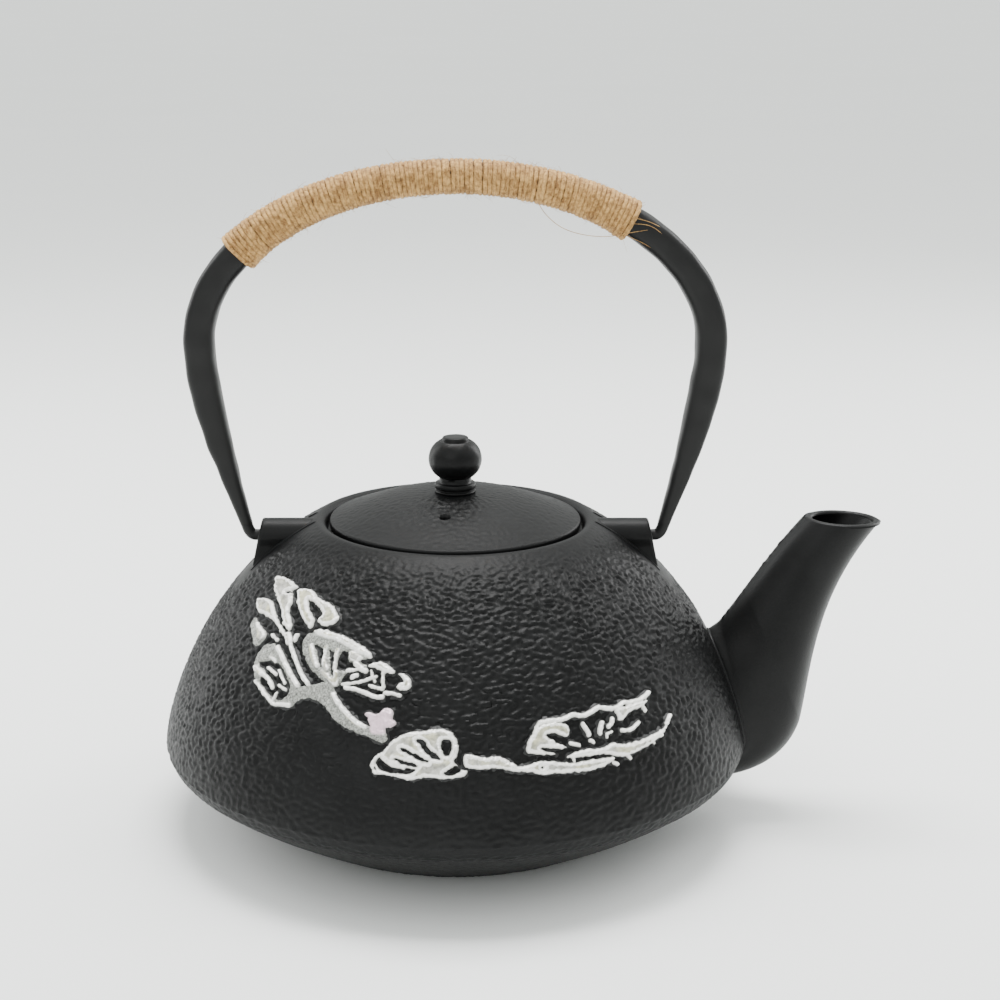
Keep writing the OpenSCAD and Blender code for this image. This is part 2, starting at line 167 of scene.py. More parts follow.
def bezier(points, share):
    """Points of a cubic curve at shares of its length parameter."""
    a, b, c, d = (np.asarray(p, float) for p in points)
    t = np.asarray(share, float)[..., None]
    return (1 - t) ** 3 * a + 3 * t * (1 - t) ** 2 * b + 3 * t * t * (1 - t) * c + t ** 3 * d


def arc(centre, radius, start, end, steps):
    """Points along an arc, its angles in degrees."""
    angles = np.radians(np.linspace(start, end, steps + 1))
    return np.asarray(centre) + radius * np.stack([np.cos(angles), np.sin(angles)], -1)


def lengths(points):
    """Distance along a line at each of its points."""
    return np.concatenate([[0], np.cumsum(np.linalg.norm(np.diff(points, axis=0), axis=1))])


def spaced(points, step):
    """The same line with its points about a step apart."""
    points = np.asarray(points, float)
    along = lengths(points)
    count = max(2, int(round(along[-1] / step)) + 1)
    marks = np.linspace(0, along[-1], count)
    return np.stack([np.interp(marks, along, points[:, k]) for k in range(points.shape[1])], -1)


def unit(vectors):
    """Vectors scaled to length one."""
    return vectors / np.maximum(np.linalg.norm(vectors, axis=-1, keepdims=True), 1e-9)


def outward(line):
    """Normals on the right-hand side of a plane line."""
    way = unit(np.gradient(line, axis=0))
    return np.stack([way[:, 1], -way[:, 0]], -1)


def squarish(angle, power):
    """Cosine and sine of a section that is squarer the smaller its power is."""
    across, along = np.cos(angle), np.sin(angle)
    return np.sign(across) * np.abs(across) ** power, np.sign(along) * np.abs(along) ** power


def bump(x, centre, width):
    """A smooth rise of height one."""
    return np.exp(-((x - centre) / width) ** 2)


def fade(x, start, end):
    """0 at start, 1 at end, smooth between and level beyond."""
    t = np.clip((x - start) / (end - start), 0, 1)
    return t * t * (3 - 2 * t)


# ---- the pot's outline -----------------------------------------------------------------------

lip_centre = np.array([recess_r + lip_round, mouth_z - lip_round])
crown = lip_centre + lip_round * heading(90 - shoulder_deg)
belly_centre = np.array([body_r - belly_round, belly_z])
belly_foot = belly_centre + belly_round * heading(underside_deg - 90)
base_edge = np.array([base_r, 0.0])
under_reach = 0.35 * np.linalg.norm(belly_foot - base_edge)
shoulder_reach = shoulder_full * (body_r - crown[0]) / math.cos(math.radians(shoulder_deg))
underside = [base_edge, base_edge + under_reach * heading(underside_deg - 8),
             belly_foot - under_reach * heading(underside_deg), belly_foot]
shoulder = [(body_r, belly_z), (body_r, belly_z + belly_rise),
            crown + shoulder_reach * heading(-shoulder_deg), crown]


def pot_skin():
    """Radius and height of the pot's outside, from the base's edge to the mouth."""
    shares = np.linspace(0, 1, 200)
    return np.concatenate([bezier(underside, shares)[:-1],
                           arc(belly_centre, belly_round, underside_deg - 90, 0, 24)[:-1],
                           bezier(shoulder, shares)])


skin = pot_skin()
inner_skin = skin - wall * outward(skin)


def outer_r(z):
    """The pot's radius at a height."""
    return np.interp(z, skin[:, 1], skin[:, 0])


def on_skin(turn, z, lift):
    """Points lifted off the pot's skin; turn is in degrees from the front towards the spout."""
    slope = (outer_r(z + 0.5) - outer_r(z - 0.5))
    level = 1 / np.sqrt(1 + slope ** 2)
    radius = outer_r(z) + lift * level
    turn = np.radians(turn)
    return np.stack([radius * np.sin(turn), -radius * np.cos(turn), z - lift * slope * level], -1)


# ---- meshes ----------------------------------------------------------------------------------

def all_round(count):
    """Evenly spaced angles once round a circle."""
    return np.linspace(0, 2 * math.pi, count, endpoint=False)


def ring_faces(rows, columns, closed_rows=False):
    """Four-sided faces between rings of points, each ring closed."""
    row = np.arange(rows if closed_rows else rows - 1)[:, None]
    column = np.arange(columns)[None]
    after = (column + 1) % columns
    above = (row + 1) % rows
    return np.stack([row * columns + column, row * columns + after,
                     above * columns + after, above * columns + column], -1).reshape(-1, 4)


def signed_volume(points, quads, tris):
    """Six times the volume that the faces enclose, below zero if they face inward."""
    sets = [quads[:, [0, 1, 2]], quads[:, [0, 2, 3]]] + ([tris] if len(tris) else [])
    corner = points[np.concatenate(sets)]
    return float((corner[:, 0] * np.cross(corner[:, 1], corner[:, 2])).sum())


def new_piece(name, points, quads, tris=(), material=None, sharp=None):
    """A smooth-shaded object from points in millimetres, its faces turned outward."""
    points = np.asarray(points, float).reshape(-1, 3)
    quads = np.asarray(quads, int).reshape(-1, 4)
    tris = np.asarray(tris, int).reshape(-1, 3)
    if signed_volume(points, quads, tris) < 0:
        quads, tris = quads[:, ::-1], tris[:, ::-1]
    mesh = bpy.data.meshes.new(name)
    corners = np.concatenate([quads.ravel(), tris.ravel()]).astype(np.int32)
    quad_starts = 4 * np.arange(len(quads))
    tri_starts = 4 * len(quads) + 3 * np.arange(len(tris))
    starts = np.concatenate([quad_starts, tri_starts]).astype(np.int32)
    mesh.vertices.add(len(points))
    mesh.vertices.foreach_set("co", (points * MM).astype(np.float32).ravel())
    mesh.loops.add(len(corners))
    mesh.loops.foreach_set("vertex_index", corners)
    mesh.polygons.add(len(starts))
    mesh.polygons.foreach_set("loop_start", starts)
    mesh.update(calc_edges=True)
    mesh.shade_smooth()
    if sharp:
        mesh.set_sharp_from_angle(angle=math.radians(sharp))
    piece = bpy.data.objects.new(name, mesh)
    bpy.context.scene.collection.objects.link(piece)
    if material:
        mesh.materials.append(material)
    return piece


def capped(rings):
    """Points, quads and end triangles of a closed solid through rings of points."""
    rings = np.asarray(rings, float)
    rows, columns = rings.shape[:2]
    points = np.concatenate([rings.reshape(-1, 3), [rings[0].mean(0)], [rings[-1].mean(0)]])
    near = np.arange(columns)
    after = (near + 1) % columns
    first, last = rows * columns, rows * columns + 1
    far = (rows - 1) * columns
    tris = np.concatenate([np.stack([after, near, np.full(columns, first)], -1),
                           np.stack([far + near, far + after, np.full(columns, last)], -1)])
    return points, ring_faces(rows, columns), tris


def looped(rings):
    """Points, quads and no triangles of a solid whose last ring joins its first."""
    rows, columns = rings.shape[:2]
    faces = ring_faces(rows, columns, closed_rows=True)
    return rings.reshape(-1, 3), faces, np.zeros((0, 3), int)


def lathe(outline, columns):
    """Rings of points from an outline of radius and height."""
    turn = all_round(columns)
    radius, height = outline[:, :1], outline[:, 1:]
    return np.stack([radius * np.cos(turn), radius * np.sin(turn),
                     np.broadcast_to(height, (len(outline), columns))], -1)


def tube_rings(path, radius, sides, guide):
    """Rings round a path. The guide is a direction that each ring starts from."""
    path = np.asarray(path, float)
    way = unit(np.gradient(path, axis=0))
    guide = np.broadcast_to(np.asarray(guide, float), path.shape)
    out = unit(guide - (guide * way).sum(-1, keepdims=True) * way)
    side = np.cross(way, out)
    angle = all_round(sides)
    radius = np.broadcast_to(np.asarray(radius, float), (len(path),))
    reach = radius[:, None, None]
    return path[:, None] + reach * (np.cos(angle)[:, None] * out[:, None]
                                    + np.sin(angle)[:, None] * side[:, None])


def joined(parts):
    """Several (points, quads, tris) as one."""
    points, quads, tris, shift = [], [], [], 0
    for part_points, part_quads, part_tris in parts:
        points.append(part_points)
        quads.append(part_quads + shift)
        tris.append(part_tris + shift)
        shift += len(part_points)
    return np.concatenate(points), np.concatenate(quads), np.concatenate(tris)


class Grain:
    """A repeating block of even-sized random swells, sampled at points in millimetres."""

    def __init__(self, seed, wave, cell=0.4, size=128, spread=0.28):
        rates = np.fft.fftfreq(size), np.fft.fftfreq(size), np.fft.rfftfreq(size)
        fx, fy, fz = np.meshgrid(*rates, indexing="ij")
        rate = np.sqrt(fx ** 2 + fy ** 2 + fz ** 2) * wave / cell
        white = np.fft.rfftn(np.random.default_rng(seed).standard_normal((size,) * 3))
        self.block = np.fft.irfftn(white * bump(rate, 1, spread), s=(size,) * 3, axes=(0, 1, 2))
        self.block = (self.block / self.block.std()).astype(np.float32)
        self.cell = cell
        self.size = size

    def at(self, points):
        """The swell at each point, about -1 to 1."""
        place = np.asarray(points, float) / self.cell
        low = np.floor(place).astype(int)
        part = place - low
        total = 0
        for dx in (0, 1):
            for dy in (0, 1):
                for dz in (0, 1):
                    share = (np.abs(1 - dx - part[..., 0]) * np.abs(1 - dy - part[..., 1])
                             * np.abs(1 - dz - part[..., 2]))
                    spot = [(low[..., k] + d) % self.size for k, d in enumerate((dx, dy, dz))]
                    total = total + share * self.block[tuple(spot)]
        return total


# ---- materials -------------------------------------------------------------------------------

class Wire:
    """A node's output, so that a sum of outputs is written as a Python sum."""

    def __init__(self, recipe, socket):
        self.recipe = recipe
        self.socket = socket

    def other(self, output):
        """Another output of the same node."""
        return Wire(self.recipe, self.socket.node.outputs[output])

    def maths(self, operation, first, second):
        return self.recipe.node("ShaderNodeMath", {"operation": operation}, {0: first, 1: second})

    def __add__(self, other):
        return self.maths("ADD", self, other)

    def __sub__(self, other):
        return self.maths("SUBTRACT", self, other)

    def __rsub__(self, other):
        return self.maths("SUBTRACT", other, self)

    def __mul__(self, other):
        return self.maths("MULTIPLY", self, other)

    __radd__ = __add__
    __rmul__ = __mul__


class Recipe:
    """A material and the nodes that make it."""

    def __init__(self, name, **fixed):
        self.material = bpy.data.materials.new(name)
        self.material.use_nodes = True
        self.nodes = self.material.node_tree.nodes
        self.links = self.material.node_tree.links
        self.shader = self.nodes["Principled BSDF"]
        self.place = self.node("ShaderNodeTexCoord", output="Object")
        for socket, value in fixed.items():
            self.shader.inputs[socket.replace("_", " ")].default_value = value

    def node(self, kind, settings=None, values=None, output=0):
        """Adds a node: its settings first, then what its sockets hold or are linked to."""
        made = self.nodes.new(kind)
        for key, value in (settings or {}).items():
            setattr(made, key, value)
        for key, value in (values or {}).items():
            self.feed(made.inputs[key], value)
        return Wire(self, made.outputs[output])

    def feed(self, socket, value):
        """Links an output to a socket, or sets the socket."""
        if isinstance(value, Wire):
            self.links.new(value.socket, socket)
        else:
            socket.default_value = value

    def noise(self, size, detail=2.0, rough=0.5, stretch=None):
        """Noise whose swells are about size millimetres across, from 0 to 1."""
        place = self.place
        if stretch:
            place = self.node("ShaderNodeMapping", None, {"Vector": place, "Scale": stretch})
        return self.node("ShaderNodeTexNoise", None, {
            "Vector": place, "Scale": 1 / (size * MM), "Detail": detail, "Roughness": rough})

    def between(self, value, low, high):
        """0 below low, 1 above high, straight between."""
        return self.node("ShaderNodeMapRange", {"clamp": True},
                         {"Value": value, "From Min": low, "From Max": high})

    def blend(self, share, first, second):
        """The first colour turning into the second."""
        return self.node("ShaderNodeMix", {"data_type": "RGBA"},
                         {0: share, 6: first, 7: second}, output=2)

    def finish(self, colour, roughness, height=None, depth=0.1, metallic=None):
        """Joins colour, roughness and a height in millimetres to the shader."""
        self.feed(self.shader.inputs["Base Color"], colour)
        self.feed(self.shader.inputs["Roughness"], roughness)
        if metallic is not None:
            self.feed(self.shader.inputs["Metallic"], metallic)
        if height is not None:
            normal = self.node("ShaderNodeBump", None, {
                "Height": height, "Distance": depth * MM, "Strength": 1.0})
            self.feed(self.shader.inputs["Normal"], normal)
        return self.material


def tone(value, warmth=0.0):
    """A near-grey colour, warmer above zero."""
    return (value * (1 + warmth), value, value * (1 - warmth), 1.0)


def cast_iron(name, dark, light, rough, grain):
    """Black enamelled cast iron with a fine skin."""
    recipe = Recipe(name, Specular_IOR_Level=0.15)
    cloud = recipe.noise(14, detail=3)
    sand = recipe.noise(0.55, detail=3, rough=0.6)
    speck = recipe.between(recipe.noise(1.3, detail=1), 0.62, 0.72)
    worn = recipe.between(cloud, 0.35, 0.7) * 0.6 + recipe.between(sand, 0.4, 0.75) * 0.4
    colour = recipe.blend(worn, dark, light)
    roughness = sand * 0.12 + cloud * 0.1 + (rough - 0.11)
    height = sand + speck * 0.35 + recipe.noise(0.22, detail=1) * 0.35
    return recipe.finish(colour, roughness, height, grain)


def forged_iron(name, dark, light, rough):
    """Smooth black lacquer on forged iron, thin along its edges."""
    recipe = Recipe(name, Specular_IOR_Level=0.16, Coat_Roughness=0.35)
    cloud = recipe.noise(9, detail=3)
    orange_peel = recipe.noise(1.6, detail=1)
    edge = recipe.node("ShaderNodeNewGeometry", output="Pointiness")
    worn = recipe.between(edge, 0.52, 0.6) * recipe.between(cloud, 0.35, 0.65)
    colour = recipe.blend(worn * 0.6 + cloud * 0.3, dark, light)
    recipe.feed(recipe.shader.inputs["Coat Weight"], 0.05)
    return recipe.finish(colour, cloud * 0.12 + (rough - 0.06), orange_peel, 0.02)


def pine_paint(name, paint, blush, iron):
    """Silver-white paint on the raised pine, thin and grey in places, worn along its edges, whiter
    along its rims as painted highlight.
    """
    recipe = Recipe(name, Specular_IOR_Level=0.5)
    marks = recipe.node("ShaderNodeAttribute", {"attribute_name": "paint"})
    painted_here = recipe.node("ShaderNodeSeparateColor", None, {"Color": marks})
    pink = painted_here.other("Green")
    thin = painted_here.other("Blue")
    # the alpha mark carries a painted highlight: it whitens the paint along the rims of each patch
    rim = marks.other("Alpha")
    patchy = recipe.noise(1.0, detail=4, rough=0.65)
    streaks = recipe.noise(0.5, detail=2)
    covered = recipe.between(painted_here + (patchy - 0.5) * (1.0 - rim * 0.45), 0.40, 0.56)
    cream = recipe.between(recipe.noise(6, detail=2), 0.42, 0.60)
    field = recipe.blend(cream, (0.50, 0.49, 0.45, 1), (0.60, 0.58, 0.40, 1))
    dull = recipe.between(recipe.noise(1.8, detail=3), 0.42, 0.66) * 0.75
    field = recipe.blend(dull, field, (0.20, 0.20, 0.17, 1))
    # painted highlight: the paint turns whiter along the rims, cream-grey in the middle
    white = recipe.blend(recipe.between(rim + (streaks - 0.5) * 0.7, 0.08, 0.6), field, paint)
    wash = recipe.between(streaks * 0.6 + patchy * 0.4, 0.3, 0.68)
    grey = recipe.blend(wash, (0.06, 0.06, 0.055, 1), (0.46, 0.47, 0.43, 1))
    painted = recipe.blend(thin, white, grey)
    painted = recipe.blend(pink, painted, blush)
    colour = recipe.blend(covered, iron, painted)
    roughness = 0.46 - covered * 0.12 + patchy * 0.14
    height = recipe.noise(0.5, detail=3) + covered * 0.5
    return recipe.finish(colour, roughness, height, 0.08, metallic=covered * 0.3)


def jute(name, straw, bark, fuzz):
    """Twine fibre: fine streaks, paler where it is rubbed."""
    recipe = Recipe(name, Sheen_Weight=0.08, Sheen_Roughness=0.5, Specular_IOR_Level=0.2)
    streak = recipe.noise(0.35, detail=4, rough=0.7)
    strand = recipe.noise(1.2, detail=3, rough=0.75)
    patch = recipe.noise(5, detail=2)
    share = recipe.between(strand * 0.55 + streak * 0.25 + patch * 0.2, 0.39, 0.60)
    colour = recipe.blend(share, bark, straw)
    return recipe.finish(colour, streak * 0.15 + 0.75, streak, fuzz)


def steel(name, rough, size):
    """Stainless steel with a fine brushed or drawn grain."""
    recipe = Recipe(name)
    drawn = recipe.noise(size, detail=2, stretch=(1, 1, 6))
    colour = recipe.blend(drawn, tone(0.50), tone(0.66))
    return recipe.finish(colour, drawn * 0.14 + rough, drawn, 0.01, metallic=1.0)


def dress(node, material):
    """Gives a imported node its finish."""
    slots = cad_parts[node].material_slots
    for slot in slots:
        slot.material = material
    if not slots:
        raise RuntimeError(f"{node} has no material slot")


# ---- what a user would change ----------------------------------------------------------------

class IronLooks(bpy.types.PropertyGroup):
    """Finish of the cast iron."""

    wrinkle_height: bpy.props.FloatProperty(
        name="Wrinkle height", description="Height of the skin's wrinkles", unit="LENGTH",
        default=0.00027, min=0, max=0.0006, precision=5)
    wrinkle_width: bpy.props.FloatProperty(
        name="Wrinkle width", description="Distance from wrinkle to wrinkle", unit="LENGTH",
        default=0.0022, min=0.001, max=0.008, precision=4)
    dark: bpy.props.FloatVectorProperty(
        name="Dark iron", description="Colour of the iron in its hollows", subtype="COLOR",
        size=4, default=tone(0.0022, -0.03), min=0, max=1)
    light: bpy.props.FloatVectorProperty(
        name="Light iron", description="Colour of the iron where it is rubbed", subtype="COLOR",
        size=4, default=tone(0.0065, -0.02), min=0, max=1)
    roughness: bpy.props.FloatProperty(
        name="Roughness", description="Roughness of the pot's skin", subtype="FACTOR",
        default=0.46, min=0, max=1)


class ReliefLooks(bpy.types.PropertyGroup):
    """The painted pine branch."""

    height: bpy.props.FloatProperty(
        name="Relief height", description="How far the pine stands out of the pot",
        unit="LENGTH", default=0.0014, min=0.0005, max=0.002, precision=4)
    paint: bpy.props.FloatVectorProperty(
        name="Paint", description="Colour of the paint", subtype="COLOR", size=4,
        default=(0.97, 0.96, 0.92, 1), min=0, max=1)
    blush: bpy.props.FloatVectorProperty(
        name="Blush", description="Colour of the rosy leaf", subtype="COLOR", size=4,
        default=(0.72, 0.55, 0.62, 1), min=0, max=1)


class TwineLooks(bpy.types.PropertyGroup):
    """The twine round the bail."""

    turns: bpy.props.IntProperty(
        name="Turns", description="Turns of twine round the bail", default=94, min=40, max=140)
    fibres: bpy.props.IntProperty(
        name="Loose fibres", description="Short fibres that stand off the twine", default=2400,
        min=0, max=3000)
    straw: bpy.props.FloatVectorProperty(
        name="Straw", description="Colour of the twine's pale fibres", subtype="COLOR", size=4,
        default=(0.64, 0.39, 0.14, 1), min=0, max=1)
    bark: bpy.props.FloatVectorProperty(
        name="Bark", description="Colour of the twine's dark fibres", subtype="COLOR", size=4,
        default=(0.17, 0.075, 0.022, 1), min=0, max=1)


class StageLooks(bpy.types.PropertyGroup):
    """Light and floor."""

    key_power: bpy.props.FloatProperty(
        name="Key light", description="Power of the large overhead light", unit="POWER",
        default=15.0, min=0, max=100)
    rim_power: bpy.props.FloatProperty(
        name="Rim light", description="Power of the lights behind the teapot", unit="POWER",
        default=6.0, min=0, max=100)
    sky: bpy.props.FloatProperty(
        name="Sky", description="Brightness of the light from above", default=1.7,
        min=0, max=5)
    floor: bpy.props.FloatVectorProperty(
        name="Floor", description="Colour of the floor", subtype="COLOR", size=4,
        default=(0.92, 0.93, 0.92, 1), min=0, max=1)


# ---- pot -------------------------------------------------------------------------------------

def pot_outline():
    """The whole section of the pot's wall from the base's centre round to the floor's centre."""
    lower = spaced(skin[skin[:, 1] < belly_z - 7], 1.0)
    upper = spaced(np.concatenate([lower[-1:], skin[skin[:, 1] > belly_z - 7]]), 0.46)
    lip = arc(lip_centre, lip_round, 90 - shoulder_deg, 180, 12)[1:]
    ledge = np.array([(recess_r, ledge_z + 0.4), (recess_r - 0.4, ledge_z),
                      (throat_r + 0.4, ledge_z), (throat_r, ledge_z - 0.4),
                      (throat_r, ledge_under)])
    inside = inner_skin[(inner_skin[:, 1] > floor_t) & (inner_skin[:, 1] < ledge_under)][::-1]
    base = np.array([(2.0, 0.0), (0.5 * base_r, 0.0), (base_r - 1.5, 0.0), (base_r - 0.4, 0.12)])
    floor = np.array([(inside[-1][0] - 1.0, floor_t), (0.5 * base_r, floor_t), (2.0, floor_t)])
    rows = np.concatenate([base, lower[1:-1], upper, lip, ledge, spaced(inside, 2.5), floor])
    is_skin = np.zeros(len(rows), bool)
    first = len(base)
    is_skin[first:first + len(lower) - 2 + len(upper)] = True
    return rows, is_skin


def wrinkled(points, rows, height, wave):
    """How far each point of the outside moves out: cast wrinkles, calm near the fittings."""
    along = lengths(rows)[:, None]
    radius = np.linalg.norm(points[..., :2], axis=-1)
    place = np.stack([points[..., 0], points[..., 1], np.broadcast_to(along * 1.2, radius.shape)],
                     -1)
    swell = np.tanh(1.6 * Grain(7, wave).at(place)) + 0.35 * np.tanh(Grain(8, 0.55 * wave).at(place))
    z = points[..., 2]
    strength = np.interp(z, [0, 12, 30, 45, 60, 86, 91, mouth_z - 1.2],
                         [0.30, 0.35, 0.55, 0.85, 1.0, 1.0, 0.6, 0.15])
    near_lug = fade(np.abs(points[..., 0]), 40, 44) * (1 - fade(np.abs(points[..., 1]), 7.5, 12))
    calm_lug = 1 - near_lug * fade(z, 70, 77)
    middle = (spout_top_z + spout_foot_z) / 2
    half = (spout_top_z - spout_foot_z) / 2
    off_root = np.hypot(points[..., 1] / spout_root_w, (z - middle) / half)
    calm_spout = np.where(points[..., 0] > 0, fade(off_root, 1.05, 1.35), 1.0)
    return height * swell * strength * calm_lug * calm_spout


def build_pot(looks):
    """Wall, ledge and floor of the pot in one casting, with the parting seam of its mould."""
    outline, is_skin = pot_outline()
    columns = 800
    rings = lathe(outline, columns)
    normals = outward(outline)
    lift = np.zeros(rings.shape[:2])
    lift[is_skin] = wrinkled(rings[is_skin], outline[is_skin], looks.wrinkle_height / MM,
                             looks.wrinkle_width / MM)
    seam = 0.28 * bump(outline[:, 1], belly_z - 1.2, 0.45) * is_skin
    lift += seam[:, None]
    turn = all_round(columns)
    rings[..., 0] += lift * normals[:, :1] * np.cos(turn)
    rings[..., 1] += lift * normals[:, :1] * np.sin(turn)
    rings[..., 2] += lift * normals[:, 1:]
    material = cast_iron("pot enamel", looks.dark, looks.light, looks.roughness, 0.06)
    pot = new_piece("pot_casting", *capped(rings), material=material, sharp=40)
    pierce(pot, (0, 0, (spout_top_z + spout_foot_z) / 2), pour_hole_r, body_r + 1, "X")
    place_piece(pot, "pot", "iron", "pot_body")


def pierce(piece, start, radius, length, axis):
    """Cuts a round hole from a point along +X or +Z, and leaves no modifier behind."""
    turn = all_round(48)
    ring = np.stack([0 * turn, radius * np.cos(turn), radius * np.sin(turn)], -1)
    if axis == "Z":
        ring = ring[:, [1, 2, 0]]
    far = np.array([length, 0, 0] if axis == "X" else [0, 0, length])
    drill = new_piece("drill", *capped(np.array([ring, ring + far]) + np.array(start)))
    cut = piece.modifiers.new("hole", "BOOLEAN")
    cut.operation = "DIFFERENCE"
    cut.solver = "MANIFOLD"
    cut.object = drill
    bpy.context.view_layer.update()
    evaluated = piece.evaluated_get(bpy.context.evaluated_depsgraph_get())
    mesh = bpy.data.meshes.new_from_object(evaluated)
    if len(mesh.polygons) == 0:
        raise RuntimeError(f"the hole through {piece.name} failed")
    piece.modifiers.clear()
    piece.data = mesh
    bpy.data.objects.remove(drill)


def place_piece(piece, body, slot, *nodes):
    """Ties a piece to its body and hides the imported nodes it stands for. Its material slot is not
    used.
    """
    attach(piece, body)
    if nodes:
        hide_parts(*nodes)


# ---- spout -----------------------------------------------------------------------------------

root_top = np.array([outer_r(spout_top_z), spout_top_z])
root_foot = np.array([outer_r(spout_foot_z), spout_foot_z])
lip_back = np.array([body_r + spout_reach - spout_lip, spout_tip_z + spout_lip_rise])
lip_front = np.array([body_r + spout_reach, spout_tip_z])
knee = np.array([body_r + 0.445 * spout_reach, 0.31 * spout_tip_z])
back_length = np.linalg.norm(lip_back - root_top)
spout_upper = [root_top, root_top + 0.26 * back_length * heading(45),
               lip_back - 0.4 * back_length * heading(48), lip_back]
spout_belly = [root_foot, (knee[0] - 15, spout_foot_z - 2), knee - 13 * heading(74), knee]
spout_front = [knee, knee + 17 * heading(79), lip_front - 31 * heading(51), lip_front]


def spout_ring(share, inset, sides):
    """One ring of the spout; share runs from the pot to the lip."""
    upper = bezier(spout_upper, share)
    if share < knee_at:
        lower = bezier(spout_belly, share / knee_at)
    else:
        lower = bezier(spout_front, (share - knee_at) / (1 - knee_at))
    across = unit(upper - lower)
    upper, lower = upper - across * inset, lower + across * inset
    middle, half = (upper + lower) / 2, (upper - lower) / 2
    width = np.interp(share, [0, knee_at, 0.8, 1],
                      [spout_root_w, spout_root_w - 0.5, spout_tip_w + 0.6, spout_tip_w]) - inset
    angle = all_round(sides)
    y = width * np.sin(angle)
    z = middle[1] + half[1] * np.cos(angle)
    x = middle[0] + half[0] * np.cos(angle)
    on_pot = np.sqrt(np.maximum(outer_r(z) ** 2 - y ** 2, 0)) + root_growth * share
    soft = 3.5 * fade(share, 0, 0.12)
    beyond = x - on_pot
    return np.stack([on_pot + 0.5 * (beyond + np.sqrt(beyond ** 2 + soft ** 2)), y, z], -1)


def build_spout(looks):
    """Hollow spout with a rolled lip, cast in two halves, and the bead where it joins the pot."""
    sides = 112
    shares = np.linspace(0, 1, 130)
    outside = np.array([spout_ring(share, 0, sides) for share in shares])
    inside = np.array([spout_ring(share, spout_wall, sides) for share in shares[::-1]])
    angle = all_round(sides)
    flash = bump(np.sin(angle), 0, 0.07) * (0.35 + 0.16 * Grain(15, 2.2).at(outside))
    flash = flash * fade(shares, 0.03, 0.12)[:, None]
    outside = outside + unit(outside - outside.mean(1, keepdims=True)) * flash[..., None]
    root_in = outside[:1] - np.array([1.2, 0, 0])
    rim_steps = np.radians(np.linspace(20, 160, 7))
    edge_out, edge_in = outside[-1], inside[0]
    middle, reach = (edge_out + edge_in) / 2, (edge_out - edge_in) / 2
    rise = np.array([0, 0, 0.9])
    rim = np.array([middle + math.cos(a) * reach + math.sin(a) * rise - rise for a in rim_steps])
    outside[-1, :, 2] -= 0.9
    inside[0, :, 2] -= 0.9
    rings = np.concatenate([root_in, outside, rim, inside])
    material = cast_iron("spout enamel", looks.dark, looks.light, looks.roughness - 0.04, 0.035)
    spout = new_piece("spout_casting", *looped(rings), material=material, sharp=50)
    place_piece(spout, "pot", "iron", "spout")

    root = outside[0]
    loop = np.concatenate([root, root[:1]])
    guide = np.concatenate([loop[:, :2], 0 * loop[:, :1]], -1)
    bead_rings = tube_rings(loop, 0.7, 8, guide)[:-1]
    bead = new_piece("spout_root_bead", *looped(bead_rings), material=material)
    place_piece(bead, "pot", "iron")


# ---- lugs ------------------------------------------------------------------------------------

lug_foot_x = outer_r(pin_z - lug_drop) - 1.5
lug_end_x = lug_foot_x - lug_drop * math.tan(math.radians(lug_rake))


def skin_height(x, y):
    """Height of the pot's shoulder over a point of the plan."""
    order = slice(None, None, -1)
    upper = skin[skin[:, 1] > belly_z + 8]
    return np.interp(np.hypot(x, y), upper[order, 0], upper[order, 1])


def lug_half():
    """Half widths of a lug at heights below the pin, as (drop, half width)."""
    return np.array([(0, lug_r), (2.5, lug_r - 0.7), (5.5, lug_r - 0.5), (8.5, lug_r + 0.6),
                     (lug_drop + 3.0, lug_foot_w + 0.6)])


def lug_ring(x, side, inset=0.0):
    """Section of a lug across X: a round back over a waisted web that ends inside the pot."""
    top = arc((0, 0), lug_r - inset, 90, 0, 14)
    foot = pin_z - skin_height(x, lug_foot_w * 0.8) + 1.2
    drops = np.linspace(0, 1, 16)[1:] * max(foot, 0.5)
    table = lug_half()
    web = np.stack([np.interp(drops, table[:, 0], table[:, 1]) - inset, -drops], -1)
    half = np.concatenate([top, web])
    full = np.concatenate([half, (half * (-1, 1))[::-1][:-1]])
    lean = math.tan(math.radians(lug_rake))
    x_here = x - lean * full[:, 1] * fade(x, lug_start_x, lug_end_x)
    return np.stack([side * x_here, full[:, 0], pin_z + full[:, 1]], -1)


